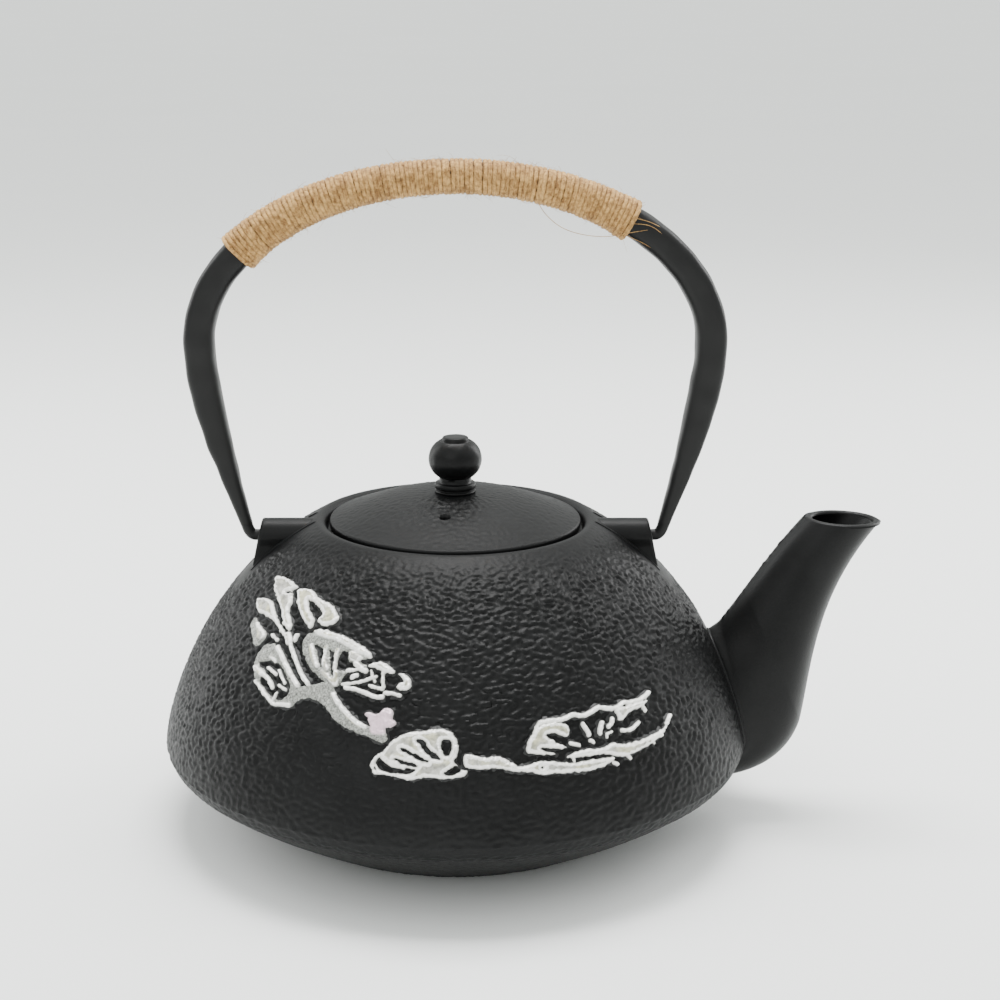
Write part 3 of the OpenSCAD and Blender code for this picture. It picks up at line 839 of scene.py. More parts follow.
def build_lugs(looks):
    """The two lugs that carry the bail, each with its pin hole and moulding seam."""
    material = cast_iron("lug enamel", looks.dark, looks.light, looks.roughness - 0.02, 0.04)
    for name, node, side in (("lug_front_casting", "lug_front", 1),
                             ("lug_rear_casting", "lug_rear", -1)):
        stations = np.linspace(lug_start_x, lug_end_x - 0.7, 26)
        rings = [lug_ring(x, side) for x in stations]
        for back, inset in ((0.35, 0.1), (0.1, 0.35), (0.0, 0.7)):
            rings.append(lug_ring(lug_end_x - back, side, inset))
        face = rings[-1]
        lean = math.tan(math.radians(lug_rake))
        angle = np.arctan2(face[:, 2] - pin_z, face[:, 1])
        bore = pin_r + pin_fit
        hole_y, hole_z = bore * np.cos(angle), bore * np.sin(angle)
        for grow in (1.5, 1.0):
            rings.append(np.stack([side * (lug_end_x - lean * hole_z * grow), hole_y * grow,
                                   pin_z + hole_z * grow], -1))
        depth_x = lug_start_x + 2
        rings.append(np.stack([np.full(len(angle), side * depth_x), hole_y, pin_z + hole_z], -1))
        lug = new_piece(name, *capped(rings), material=material, sharp=50)
        place_piece(lug, "pot", "iron", node)

        for hand in (1, -1):
            x = np.linspace(lug_start_x - 1, lug_end_x + 2.2, 40)
            drop = np.maximum(pin_z - skin_height(x, lug_r), 0)
            table = lug_half()
            y = np.interp(drop, table[:, 0], table[:, 1]) + 0.1
            line = np.stack([side * x, hand * y, skin_height(x, y) + 0.05], -1)
            seam_name = f"{node}_seam_{'left' if hand > 0 else 'right'}"
            taper = 0.45 * np.sin(np.linspace(0.15, math.pi - 0.15, len(x))) ** 0.4
            seam = new_piece(seam_name, *capped(tube_rings(line, taper, 8, (0, 0, 1))),
                             material=material)
            place_piece(seam, "pot", "iron")


# ---- bail ------------------------------------------------------------------------------------

pin_face_x = lug_end_x + bail_gap
arch_half = pin_face_x + bail_flare
arch_z = pin_z + bail_side_h
pin_tip_x = outer_r(pin_z - pin_r) + pin_end_gap
elbow_top = np.array([pin_face_x + 2.2, pin_z + 3.6])
elbow = [(pin_face_x - 0.6, pin_z), (pin_face_x + 1.2, pin_z),
         elbow_top - 1.4 * heading(76), elbow_top]
arm = [elbow_top, elbow_top + 0.3 * bail_side_h * heading(73),
       (arch_half, arch_z - 0.26 * bail_side_h), (arch_half, arch_z)]


def arch_at(deg):
    """Centre and outward direction of the bail's arch at angles in degrees."""
    a = np.radians(deg)
    centre = np.stack([arch_half * np.cos(a), arch_z + bail_arch_h * np.sin(a)], -1)
    out = unit(np.stack([bail_arch_h * np.cos(a), arch_half * np.sin(a)], -1))
    return centre, out


def arch_thick(deg):
    """Thickness of the bail along its arch."""
    return bar_t + (bar_crown_t - bar_t) * np.sin(np.radians(deg)) ** 4


def bail_half():
    """Centre line, thickness, width and squareness of half the bail, pin to crown."""
    shares = np.linspace(0, 1, 40)
    pin = np.stack([np.linspace(pin_tip_x, pin_face_x - 0.6, 12), np.full(12, pin_z)], -1)
    bend = bezier(elbow, shares)[1:]
    limb = bezier(arm, np.linspace(0, 1, 90))[1:]
    arch = arch_at(np.linspace(0, 90, 110))[0][1:]
    hook_t, hook_w = 2 * pin_r + 0.1, 2 * pin_r + 0.8
    s = np.linspace(0, 1, 90)[1:]
    thick = np.concatenate([
        np.full(len(pin), 2 * pin_r), np.linspace(2 * pin_r, hook_t, len(bend)),
        np.interp(s, [0, 0.2, 0.45, 0.7], [hook_t, 0.54 * bar_t, 0.82 * bar_t, bar_t]),
        arch_thick(np.linspace(0, 90, 110))[1:]])
    width = np.concatenate([
        np.full(len(pin), 2 * pin_r), np.linspace(2 * pin_r, hook_w, len(bend)),
        np.interp(s, [0, 0.3, 0.7, 1], [hook_w, 0.68 * bar_w, 0.9 * bar_w, bar_w]),
        np.full(len(arch), bar_w)])
    square = np.concatenate([np.full(len(pin), 1.0), np.linspace(1.0, 0.8, len(bend)),
                             np.interp(s, [0, 0.3], [0.8, 0.62]), np.full(len(arch), 0.62)])
    line = np.concatenate([pin, bend, limb, arch])
    return line, smoothed(thick, 9), smoothed(width, 9), square


def smoothed(values, reach):
    """A running mean that keeps both ends."""
    padded = np.concatenate([np.full(reach, values[0]), values, np.full(reach, values[-1])])
    kernel = np.hanning(2 * reach + 3)[1:-1]
    return np.convolve(padded, kernel / kernel.sum(), mode="valid")


def build_bail():
    """The forged bar from pin to pin."""
    line, thick, width, square = bail_half()
    out = outward(line)
    sides = 56
    angle = all_round(sides)
    u, v = squarish(angle, square[:, None])
    u, v = u * thick[:, None] / 2, v * width[:, None] / 2
    half = np.stack([line[:, :1] + out[:, :1] * u, v, line[:, 1:] + out[:, 1:] * u], -1)
    tip = half[0]
    centre = tip.mean(0)
    point = np.array([centre + (tip - centre) * 0.72 - (0.35, 0, 0)])
    half = np.concatenate([point, half])
    half[1, :, 0] += 0.25
    rings = np.concatenate([half, (half * (-1, 1, 1))[::-1][1:]])
    hammered = Grain(21, 9.0, cell=1.2, size=96).at(rings)
    middle = rings.mean(1, keepdims=True)
    calm = fade(rings[..., 2], pin_z + 4, pin_z + 16)[..., None]
    rings = rings + unit(rings - middle) * (0.07 * hammered[..., None] * calm)
    material = forged_iron("bail lacquer", tone(0.006), tone(0.020, 0.01), 0.42)
    bail = new_piece("bail_bar", *capped(rings), material=material, sharp=60)
    place_piece(bail, "handle", "forged_iron", "handle_bar")


# ---- twine -----------------------------------------------------------------------------------

def on_bar(deg, around, grow):
    """Points round the bail's arch, and the direction that faces away from it."""
    centre, out = arch_at(deg)
    u, v = squarish(around, corner_power)
    u, v = u * (arch_thick(deg) / 2 + grow), v * (bar_w / 2 + grow)
    point = np.stack([centre[..., 0] + out[..., 0] * u, v, centre[..., 1] + out[..., 1] * u], -1)
    away = np.stack([out[..., 0] * np.cos(around), np.sin(around), out[..., 1] * np.cos(around)],
                    -1)
    return point, away


def twine_degrees(share):
    """Angles along the arch at shares of the wrap's true length."""
    deg = np.linspace(wrap_from, wrap_to, 400)
    along = lengths(arch_at(deg)[0])
    return np.interp(share, along / along[-1], deg)


def wrap_rise(share):
    """Extra height of the twine near the two ends, where its tails are laid under."""
    return (wrap_end_t - wrap_t) * np.abs(2 * share - 1) ** 10


def build_twine(looks):
    """One helical lay of two-ply twine, a painted-shade sleeve that shows between its turns, and its
    loose fibres.
    """
    rng = np.random.default_rng(31)
    per_turn = 44
    count = looks.turns * per_turn
    share = np.linspace(0, 1, count)
    length = lengths(arch_at(np.linspace(wrap_from, wrap_to, 400))[0])[-1]
    pitch = length / looks.turns
    twine_r = 0.55 * pitch
    around = 2 * math.pi * looks.turns * share + 0.4
    wander = smoothed(rng.standard_normal(count), 24) * 2.4
    swell = smoothed(rng.standard_normal(count), 12) * 1.1
    sway = np.clip(wander, -1, 1) * 0.15 * pitch / length
    grow = twine_r * 0.96 + wrap_rise(share) + 0.12 * np.clip(swell, -1.5, 1.5)
    edge = np.clip(share + sway, 0, 1)
    path, away = on_bar(twine_degrees(edge), around, grow)
    along = lengths(path)
    sides = 12
    ply_length = 5.0
    twist = 2 * math.pi * along / ply_length
    rings = tube_rings(path, 1.0, sides, away)
    angle = all_round(sides)
    lobes = 0.82 + 0.26 * np.abs(np.cos(angle - twist[:, None]))
    size = twine_r * lobes * (1 + 0.12 * np.clip(swell, -1.5, 1.5))[:, None]
    rings = path[:, None] + (rings - path[:, None]) * size[..., None]
    ends = np.ones(count)
    ends[:3] = (0.3, 0.7, 0.9)
    ends[-3:] = (0.9, 0.7, 0.3)
    rings = path[:, None] + (rings - path[:, None]) * ends[:, None, None]
    twine = jute("jute twine", looks.straw, looks.bark, 0.25)
    coil = new_piece("twine_coil", *capped(rings), material=twine)
    place_piece(coil, "handle", "jute", "handle_wrap")

    build_shade_sleeve(looks)
    build_fibres(looks, rng, twine_r, twine)


def build_shade_sleeve(looks):
    """A sleeve on the bar in dark copies of the twine's colour: painted shade seen between the turns.
    """
    columns = 48
    shares = np.linspace(0.004, 0.996, 60)
    turn = all_round(columns)
    outer = np.array([on_bar(np.full(columns, twine_degrees(share)), turn,
                             0.45 + wrap_rise(share) * 0.8)[0] for share in shares])
    inner = np.array([on_bar(np.full(columns, twine_degrees(share)), turn, 0.03)[0]
                      for share in shares])
    rings = np.concatenate([outer, inner[::-1]])
    # painted shade: the twine's bark colour darkened to 0.4 and 0.2 for the crevices between turns
    shade = [tuple(part * c for c in looks.bark[:3]) + (1,) for part in (0.4, 0.2)]
    under = new_piece("twine_shade_sleeve", *looped(rings),
                      material=jute("jute shade", *shade, 0.05))
    place_piece(under, "handle", "jute")


def build_fibres(looks, rng, twine_r, material):
    """Fibres that stand off the twine, and the few long strays under it."""
    parts = []
    for _ in range(looks.fibres):
        share = rng.uniform(0.0, 1.0)
        around = rng.uniform(0, 2 * math.pi)
        foot, away = on_bar(np.array([twine_degrees(share)]), np.array([around]),
                            twine_r * 1.75 + wrap_rise(share))
        across = unit(np.cross(away[0], rng.standard_normal(3)))
        reach = min(rng.gamma(2.2, 0.75), 5.5)
        t = np.linspace(0, 1, 7)[:, None]
        curl = rng.normal(0, 0.35, 3)
        path = (foot[0] - away[0] * 0.3 + across * reach * t
                + away[0] * (0.25 + rng.uniform(0.0, 0.25) * reach) * np.sin(t * rng.uniform(1.2, 2.9))
                + curl * t * t * reach * 0.5)
        size = np.linspace(1.0, 0.45, 7) * rng.uniform(0.03, 0.065)
        parts.append(capped(tube_rings(path, size, 3, away[0] + 0.01)))
    for points, size in LONG_STRAYS:
        path = spaced(curve_through(points), 0.6)
        size = size * np.interp(np.linspace(0, 1, len(path)), [0, 0.8, 1], [1, 0.9, 0.4])
        parts.append(capped(tube_rings(path, size, 5, (0.1, 1, 0.2))))
    fibres = new_piece("twine_fibres", *joined(parts), material=material)
    place_piece(fibres, "handle", "jute")


# Long stray fibres, as points and a radius. They leave the twine's underside.
LONG_STRAYS = [
    ([(24, -5, 191), (26.5, -7, 187.5), (31, -8, 184), (37, -8, 182), (44, -8, 181.4),
      (50, -7.5, 182.3), (56, -7, 183.2)], 0.11),
    ([(50, -6.5, 187), (54, -7.5, 186.3), (57, -8, 185.4), (59.5, -8, 184.2)], 0.08),
    ([(52, -7, 185), (55.5, -8, 184.8), (58, -8, 183.8), (60, -7.5, 182.2)], 0.07),
    ([(49, -6, 181.8), (52, -7, 180.6), (54.5, -7.5, 179.5), (57, -7, 178)], 0.08),
    ([(-11.5, -5, 195), (-10.6, -6, 193.3), (-8.8, -6.4, 192.5), (-7, -6, 193.2), (-6.4, -5, 195)],
     0.08),
    ([(-63, -5.5, 183), (-65.5, -6.5, 179.5), (-64.6, -6.8, 176.6), (-62.5, -6.6, 174)], 0.06),
    ([(-60, -6, 180), (-61.5, -7, 176.8), (-60, -7.2, 174.6)], 0.05),
]


def curve_through(points):
    """A smooth line through points."""
    points = np.asarray(points, float)
    way = np.gradient(points, axis=0)
    shares = np.linspace(0, 1, 12)
    pieces = [bezier((points[i], points[i] + way[i] / 3, points[i + 1] - way[i + 1] / 3,
                      points[i + 1]), shares)[:-1] for i in range(len(points) - 1)]
    return np.concatenate(pieces + [points[-1:]])


# ---- lid and knob ----------------------------------------------------------------------------

pad_r = collar_r + 0.6
dome = [(pad_r, lid_top), (pad_r + 0.35 * lid_r, lid_top - 0.04 * lid_rise),
        (lid_r - 9, lid_edge_z + 2.9), (lid_r - 0.9, lid_edge_z)]
mesh_inner_r = mesh_r - mesh_t
skirt_r = mesh_inner_r - 1.5


def build_lid(looks):
    """Domed lid with its skirt and steam vent."""
    shares = np.linspace(0, 1, 120)
    top = spaced(np.concatenate([[(pad_r * 0.5, lid_top)], bezier(dome, shares)]), 0.45)
    edge = arc((lid_r - 0.9, lid_edge_z - 0.9), 0.9, 70, 0, 7)
    below = np.array([(lid_r, lid_z + 0.8), (lid_r - 0.25, lid_z + 0.25), (lid_r - 0.8, lid_z),
                      (skirt_r, lid_z), (skirt_r, lid_z - skirt_h + 1),
                      (skirt_r - 0.3, lid_z - skirt_h + 0.3), (skirt_r - 1, lid_z - skirt_h),
                      (skirt_r - lid_t, lid_z - skirt_h), (skirt_r - lid_t, lid_z + 1)])
    under = (bezier(dome, shares) - (0, lid_t))[shares < 8 / 14][::-1][::4]
    outline = np.concatenate([[(screw_hole_r, lid_top)], top[1:], edge, below, under,
                              [(screw_hole_r, lid_top - lid_t)]])
    columns = 420
    rings = lathe(outline, columns)
    is_top = np.arange(len(outline)) <= len(top)
    ripple = Grain(11, 2.1).at(rings)
    fine = Grain(12, 1.1, cell=0.25).at(rings)
    patch = np.exp(-((rings[..., 0] + 3.5) / 12) ** 2 - ((rings[..., 1] + 14.5) / 7.5) ** 2)
    lift = 0.035 * ripple + 0.02 * fine + 0.17 * patch * np.tanh(ripple + 0.4 * fine)
    off_centre = np.hypot(rings[..., 0], rings[..., 1])
    lift = lift * is_top[:, None] * fade(off_centre, collar_r + 0.4, collar_r + 2)
    rings[..., 2] += lift
    material = cast_iron("lid enamel", looks.dark, looks.light, looks.roughness, 0.035)
    lid = new_piece("lid_casting", *looped(rings), material=material, sharp=45)
    spot = vent_offset * heading(vent_turn)
    pierce(lid, (spot[0], spot[1], lid_z), vent_r, 2 * lid_rise, "Z")
    place_piece(lid, "lid", "iron", "lid")


def build_collar(gloss):
    """The grooved ring that the knob stands on."""
    columns = 144
    collar = np.array([(screw_hole_r, lid_top), (collar_r - 0.2, lid_top), (collar_r, lid_top + 0.2),
                       (collar_r, lid_top + 0.55), (collar_r - 0.1, lid_top + 0.72),
                       (collar_r - 0.42, lid_top + 0.85), (collar_r - 0.45, lid_top + 1.2),
                       (collar_r - 0.1, lid_top + 1.35), (collar_r, lid_top + 1.5)])
    turned = arc((collar_r - 0.8, collar_top - 0.8), 0.8, 0, 90, 8)
    collar = np.concatenate([collar, turned, [(screw_hole_r, collar_top)]])
    ring = new_piece("knob_collar_ring", *looped(lathe(collar, columns)), material=gloss, sharp=60)
    place_piece(ring, "lid", "iron", "knob_collar")


def build_knob(gloss):
    """The ball knob, with a low disc on its top."""
    columns = 144
    neck_r = collar_r - 1.3
    knob_mid = collar_top + 0.51 * (knob_top - collar_top)
    ball = arc((knob_r - knob_bend, knob_mid), knob_bend, -60, 60, 44)
    foot = np.array([(neck_r + 0.4, collar_top), (neck_r + 0.05, collar_top + 0.35),
                     (neck_r, collar_top + 0.7)])
    disc = np.array([(4.65, knob_top - 1.42), (4.4, knob_top - 1.5), (4.15, knob_top - 1.35),
                     (4.05, knob_top - 1.0), (3.95, knob_top - 0.4), (3.75, knob_top - 0.12),
                     (3.3, knob_top), (1.0, knob_top)])
    bore_foot = (2.05, collar_top)
    rings = lathe(np.concatenate([[bore_foot], foot, ball, disc]), columns)
    rings = rings + unit(rings - rings.mean((0, 1))) * (0.02 * Grain(14, 3.0).at(rings))[..., None]
    knob = new_piece("knob_turning", *capped(rings), material=gloss, sharp=60)
    place_piece(knob, "lid", "iron", "lid_knob")


# ---- infuser ---------------------------------------------------------------------------------

def build_infuser():
    """Woven wire basket; its rim, base and the knob's fittings are turned steel."""
    wires, rows = 132, 27
    wire_r = 0.19
    middle_r = mesh_r - mesh_t / 2
    foot, head = MESH_LOW[2] + 0.4, MESH_HIGH[2] - 0.6
    parts = []
    heights = np.linspace(foot, head, 2 * rows * 3 + 1)
    for wire in range(wires):
        turn = 2 * math.pi * wire / wires
        weave = np.cos(math.pi * rows * (heights - foot) / (head - foot) + math.pi * wire)
        radius = middle_r - 0.05 + 0.5 * wire_r * weave
        path = np.stack([radius * math.cos(turn), radius * math.sin(turn), heights], -1)
        parts.append(capped(tube_rings(path, wire_r * 0.8, 4,
                                       (math.cos(turn), math.sin(turn), 0))))
    turn = all_round(wires * 3)
    for row in range(rows + 1):
        height = foot + (head - foot) * row / rows
        weave = -np.cos(turn * wires / 2 + math.pi * row)
        radius = middle_r - 0.05 + 0.5 * wire_r * weave
        path = np.stack([radius * np.cos(turn), radius * np.sin(turn), 0 * turn + height], -1)
        loop = np.concatenate([path[-1:], path, path[:1]])
        rings = tube_rings(loop, wire_r * 0.8, 4, (0, 0, 1))[1:-1]
        parts.append(looped(rings))
    woven = steel("woven steel", 0.24, 0.6)
    basket = new_piece("infuser_weave", *joined(parts), material=woven)
    place_piece(basket, "infuser", "steel", "infuser_mesh")
    turned = steel("turned steel", 0.2, 1.2)
    for node in ("infuser_rim", "infuser_base", "knob_screw", "knob_washer"):
        dress(node, turned)


# ---- pine relief -----------------------------------------------------------------------------

# A point is (turn in degrees from the front, height in mm).
# Bright patches of the branch, as closed outlines.
PINE_BRIGHT = [
    # petals and crest of the upper left tuft
    [(-63.5, 83.5), (-57, 84.2), (-50, 83.5), (-52, 82.5), (-50.5, 81.5), (-48.5, 80),
     (-48.5, 78.5), (-44, 75.5), (-44, 74), (-47, 75), (-50, 77.5), (-54.5, 79.5), (-59, 81)],
    [(-63.5, 77.5), (-59, 78.7), (-55.5, 78.5), (-51, 76), (-44, 73), (-45, 72.5), (-50.5, 75),
     (-56, 75.3), (-59, 75)],
    [(-50, 83.2), (-45, 84), (-40, 82.5), (-35, 82), (-31, 79.5), (-32, 78), (-35, 77),
     (-37.5, 78), (-36, 79.5), (-39, 81), (-44.5, 82.2), (-42, 80), (-38, 78), (-37.8, 75.7),
     (-40, 76.5), (-45.5, 79.5), (-48, 81.5)],
    [(-57, 73.5), (-52, 72), (-50.5, 71), (-52, 69.5), (-55, 71.5)],
    # crest and humps of the middle tuft
    [(-37.2, 75.5), (-35, 76.5), (-28.5, 76), (-24, 74.8), (-20, 73.2), (-19.3, 72),
     (-20, 71.7), (-24, 73), (-29, 74.6), (-33.5, 74.6)],
    [(-20, 70), (-18.5, 71), (-16.5, 71.3), (-14.5, 70.3), (-13.2, 69), (-15.5, 68.8),
     (-18, 69.8)],
    [(-12.8, 69), (-11, 69), (-9.4, 67.5), (-9.4, 65.8), (-11.5, 65.1), (-12.7, 65.7),
     (-12.3, 66.5), (-11, 67.2), (-11.8, 68.3)],
    [(-25, 72.8), (-22.5, 72.5), (-21.3, 71.4), (-22.5, 70.4), (-24.8, 71)],
    # fan at the foot of the trunk
    [(-12.7, 52.5), (-10, 55), (-6, 55.9), (-2.5, 56.7), (-0.6, 55.5), (0.6, 52.9), (0.5, 50.2),
     (-0.6, 48.6), (1.2, 46.4), (2.5, 46.5), (1.5, 44.8), (-2.5, 44.2), (-5.5, 44.8),
     (-8, 43.6), (-10.6, 44.2), (-13.4, 44.8), (-15.2, 44.5), (-16, 46.5), (-15.2, 49),
     (-13.6, 50.2)],
    # branch to the right, near and far, and the limb over it
    [(1.6, 50.4), (3.5, 50), (5.3, 49.3), (8, 49.6), (9.8, 48.6), (12, 46.4), (14, 47),
     (16.2, 47.7), (19, 46.9), (22.5, 46.1), (28, 45.8), (31.2, 45.6), (31.2, 44.9),
     (29.4, 44), (25.7, 43.4), (21.6, 43.8), (19.8, 44.2), (15.7, 44.2), (14.4, 45.2),
     (12, 45.4), (9.4, 46.1), (7.5, 46.8), (4.8, 46.6), (1.6, 47.2)],
    [(21, 47.5), (23.5, 48.8), (26.2, 48.8), (29, 48.2), (31.5, 49.2), (33, 48.2), (36, 47.8),
     (41.5, 48), (46.3, 49.2), (44, 47.2), (40, 46), (36, 45.2), (33, 45), (29.5, 46.9),
     (25, 47.2)],
    # right tuft
    [(13.5, 50.5), (14, 52.5), (15.5, 54.8), (17, 56.5), (21, 56.5), (22.5, 55.5), (23, 53.5),
     (21.8, 52.5), (19.5, 54.3), (17.5, 54), (19, 52), (22, 50), (20.5, 50), (17, 51),
     (16, 50.5), (20, 48.7), (17.5, 49), (14, 49.8)],
    [(33.5, 57), (38.5, 57.3), (43, 57), (41, 55.6), (37, 55.5), (35.5, 54), (34, 54),
     (34.3, 55.3)],
]

# Patches with a thin grey wash of paint.
PINE_WASHED = [
    [(-59, 74), (-55, 72.5), (-51, 72), (-50.5, 70.5), (-51.5, 68.5), (-53, 68), (-56.5, 70.5),
     (-59, 72)],
    [(-49.5, 69.5), (-46, 70.3), (-42, 68), (-38, 65), (-34.5, 62.3), (-35, 60), (-34.8, 57.5),
     (-37, 57), (-40, 56.2), (-43.5, 58), (-47, 60.5), (-49.5, 63.3), (-50.3, 66)],
    [(-37.5, 75.5), (-33, 75), (-28, 74.5), (-25, 73.3), (-21.5, 73), (-20.5, 71.5), (-20, 69),
     (-25, 68), (-25.5, 64), (-28, 64.5), (-33, 66.5), (-37.5, 70.5), (-38.8, 73)],
    [(-37, 61.5), (-35, 62.3), (-32, 63.3), (-29, 65), (-26.5, 64.2), (-25, 61), (-22, 58.5),
     (-18.5, 56), (-14.5, 56), (-13, 53.5), (-14, 52.3), (-17, 53.5), (-20, 54.3),
     (-23.5, 55.5), (-26, 58), (-28.5, 60), (-31, 60.5), (-33.5, 60), (-35, 58), (-37, 57.3)],
]

# Hollows in the patches, as closed outlines.
PINE_HOLLOWS = [
    [(-54, 81.4), (-52.5, 82.3), (-51, 82), (-52, 81.5)],
    [(-48.7, 65), (-46, 66.3), (-42.8, 66.7), (-40, 64.8), (-37, 62.2), (-36.8, 60),
     (-38.5, 57.8), (-41, 58), (-45.5, 60.3), (-46.5, 61.5), (-45, 63.5), (-48, 64)],
    [(-35.5, 72.8), (-32, 72.5), (-30.8, 68), (-31.5, 67.8), (-33.5, 71)],
    [(-30.8, 72.5), (-28.8, 72), (-27.3, 66.3), (-28.3, 67), (-29.5, 70)],
    [(-27.3, 72.7), (-25.3, 72.7), (-25, 70.5), (-22.5, 70), (-22.5, 69.2), (-25, 68.3),
     (-27, 67.8), (-27.5, 70)],
    [(-22, 71.3), (-19.5, 71.8), (-19.3, 70.3), (-21.5, 70.2)],
    [(-34.5, 67), (-32, 66.6), (-30.2, 64.8), (-31.5, 63.9), (-33, 64.3)],
    [(-15, 48), (-14, 49.2), (-12.5, 47.5), (-9.5, 46.7), (-7.3, 46.5), (-7.8, 45.2),
     (-12, 45), (-14.5, 45.8)],
    [(-12, 49), (-9.5, 48.4), (-6.5, 47.5), (-7.2, 46.9), (-10, 47.4)],
    [(-10.8, 51.3), (-10, 51.7), (-7.5, 50.3), (-4.8, 48.8), (-5, 48), (-7.5, 49)],
    [(-7.8, 53.9), (-6.3, 54), (-4.8, 51.5), (-3, 49.8), (-2.6, 48.8), (-4.5, 49.3),
     (-6.2, 51.5)],
    [(-2.9, 54), (-0.6, 54), (-0.6, 51.5), (-1.1, 49.9), (-2.2, 49.9), (-2.7, 51.8)],
    [(-2.4, 45.8), (-1.3, 46.4), (0.2, 48.3), (1.2, 46.3), (-0.2, 45.1), (-1.7, 45)],
    [(-15.4, 46.3), (-14.9, 46.8), (-14.5, 45.5), (-15, 45.1)],
    [(16, 46.2), (16.8, 46.2), (16.4, 45.5)],
]

# Ribs, needles and rims, as (width, points) of bright lines.
PINE_LINES = [
    (2.2, [(-43.8, 73), (-42.5, 71.8)]),
    (1.2, [(-42, 71.5), (-39, 68.8), (-35.5, 65.5), (-33, 63.5)]),
    (1.2, [(-45, 69.8), (-42, 67.8), (-39, 65.5), (-36.5, 63.5), (-35, 62.5)]),
    (0.9, [(-48.7, 72), (-46.2, 71.2)]),
    (1.4, [(-41, 73.6), (-41, 72.6)]),
    (1.3, [(-49, 63.4), (-46, 62.8), (-43, 61.7), (-41.8, 60.5)]),
    (0.8, [(-45, 64.6), (-42, 63.7)]),
    (0.8, [(-41.5, 64.8), (-39.5, 62.8), (-38.8, 62.3)]),
    (0.8, [(-40, 61.3), (-38, 60.8)]),
    (1.0, [(-45.5, 67), (-43.8, 66.6)]),
    (0.7, [(-40, 59.5), (-40.2, 57)]),
    (1.0, [(-47, 60.5), (-43, 58.3), (-40, 56.8), (-37.5, 57.2), (-35.5, 57.5)]),
    (1.3, [(-35.5, 72.2), (-34, 70), (-31.8, 68)]),
    (1.1, [(-31.3, 72.2), (-30.8, 69.5), (-29.3, 67.8)]),
    (1.1, [(-28.3, 72.3), (-27.9, 70), (-27.6, 68)]),
    (1.4, [(-27, 67.3), (-26.3, 64.9)]),
    (0.9, [(-30.3, 67), (-28.5, 66), (-26.5, 64.8)]),
    (1.4, [(-22.8, 70), (-21.5, 69.3), (-20, 68.7)]),
    (0.9, [(-24.5, 68.3), (-22.5, 68.9), (-21.5, 69.2)]),
    (1.3, [(-22.9, 67), (-22, 67.6)]),
    (0.8, [(-24.8, 65), (-22.5, 65.6), (-20, 66.5), (-17.5, 67.8)]),
    (0.8, [(-18.5, 65.6), (-16.5, 65.2), (-15.3, 65)]),
    (0.7, [(-18.8, 69), (-18.2, 67.8), (-17.5, 66.5)]),
    (0.9, [(-16, 68.8), (-15.8, 67), (-15.4, 65.5)]),
    (1.1, [(-24, 64.4), (-21.5, 64.3), (-19, 63.7), (-16.5, 63.1), (-15, 63.3)]),
    (0.9, [(-15, 64.3), (-13, 64.2), (-11.5, 63.9)]),
    (1.2, [(-26.2, 62.3), (-24, 60), (-20.5, 57), (-18, 55.7)]),
    (0.9, [(-13.8, 48.8), (-12.2, 47.4), (-9.3, 46.6)]),
    (1.2, [(15.7, 54.5), (16.8, 56.7), (19, 57.1), (21.6, 57), (24.4, 57.7), (26.2, 57.1),
           (28.5, 57.6), (30.3, 58.3), (32.5, 57.5), (34.4, 57.2), (36.6, 58), (38.5, 57.5),
           (41.5, 57.6), (44.5, 58.6)]),
    (1.0, [(41, 56), (41.4, 54.6)]),
    (1.0, [(22.6, 51), (24.2, 50.2)]),
    (1.4, [(26, 55), (26.6, 53.3), (26.8, 52.2)]),
    (0.9, [(26.8, 50.8), (27.4, 50.3)]),
    (1.3, [(30.2, 54.4), (29.4, 53), (29.2, 52)]),
    (1.2, [(32.8, 54.9), (32.4, 53.9), (31.4, 53.2)]),
    (0.7, [(32, 51.8), (30.8, 51.6), (30.6, 50.6)]),
    (1.0, [(34.3, 51.5), (36.6, 51.2), (39.2, 52.4)]),
    (1.0, [(46, 49.6), (47.6, 51.2)]),
    (0.9, [(30.9, 44.2), (31.6, 43.6)]),
    (0.8, [(34.3, 44.9), (34.8, 44.2)]),
    (0.5, [(41.2, 46.8), (41.3, 46)]),
    (0.7, [(22.6, 47.6), (22.8, 46.2)]),
]

# The rosy leaf over the fan, as a closed outline.
PINE_LEAF = [(-18.6, 59), (-17.5, 59.3), (-15.3, 58.9), (-15, 60.3), (-13.8, 60.8), (-12.6, 60.3),
             (-12.7, 58.5), (-11.6, 57.3), (-12.5, 56.3), (-14, 56.2), (-13.6, 54.5),
             (-16.5, 54.3), (-17, 56.5), (-17.7, 58)]


chart_r = 82.0              # radius that the chart's columns are spaced for


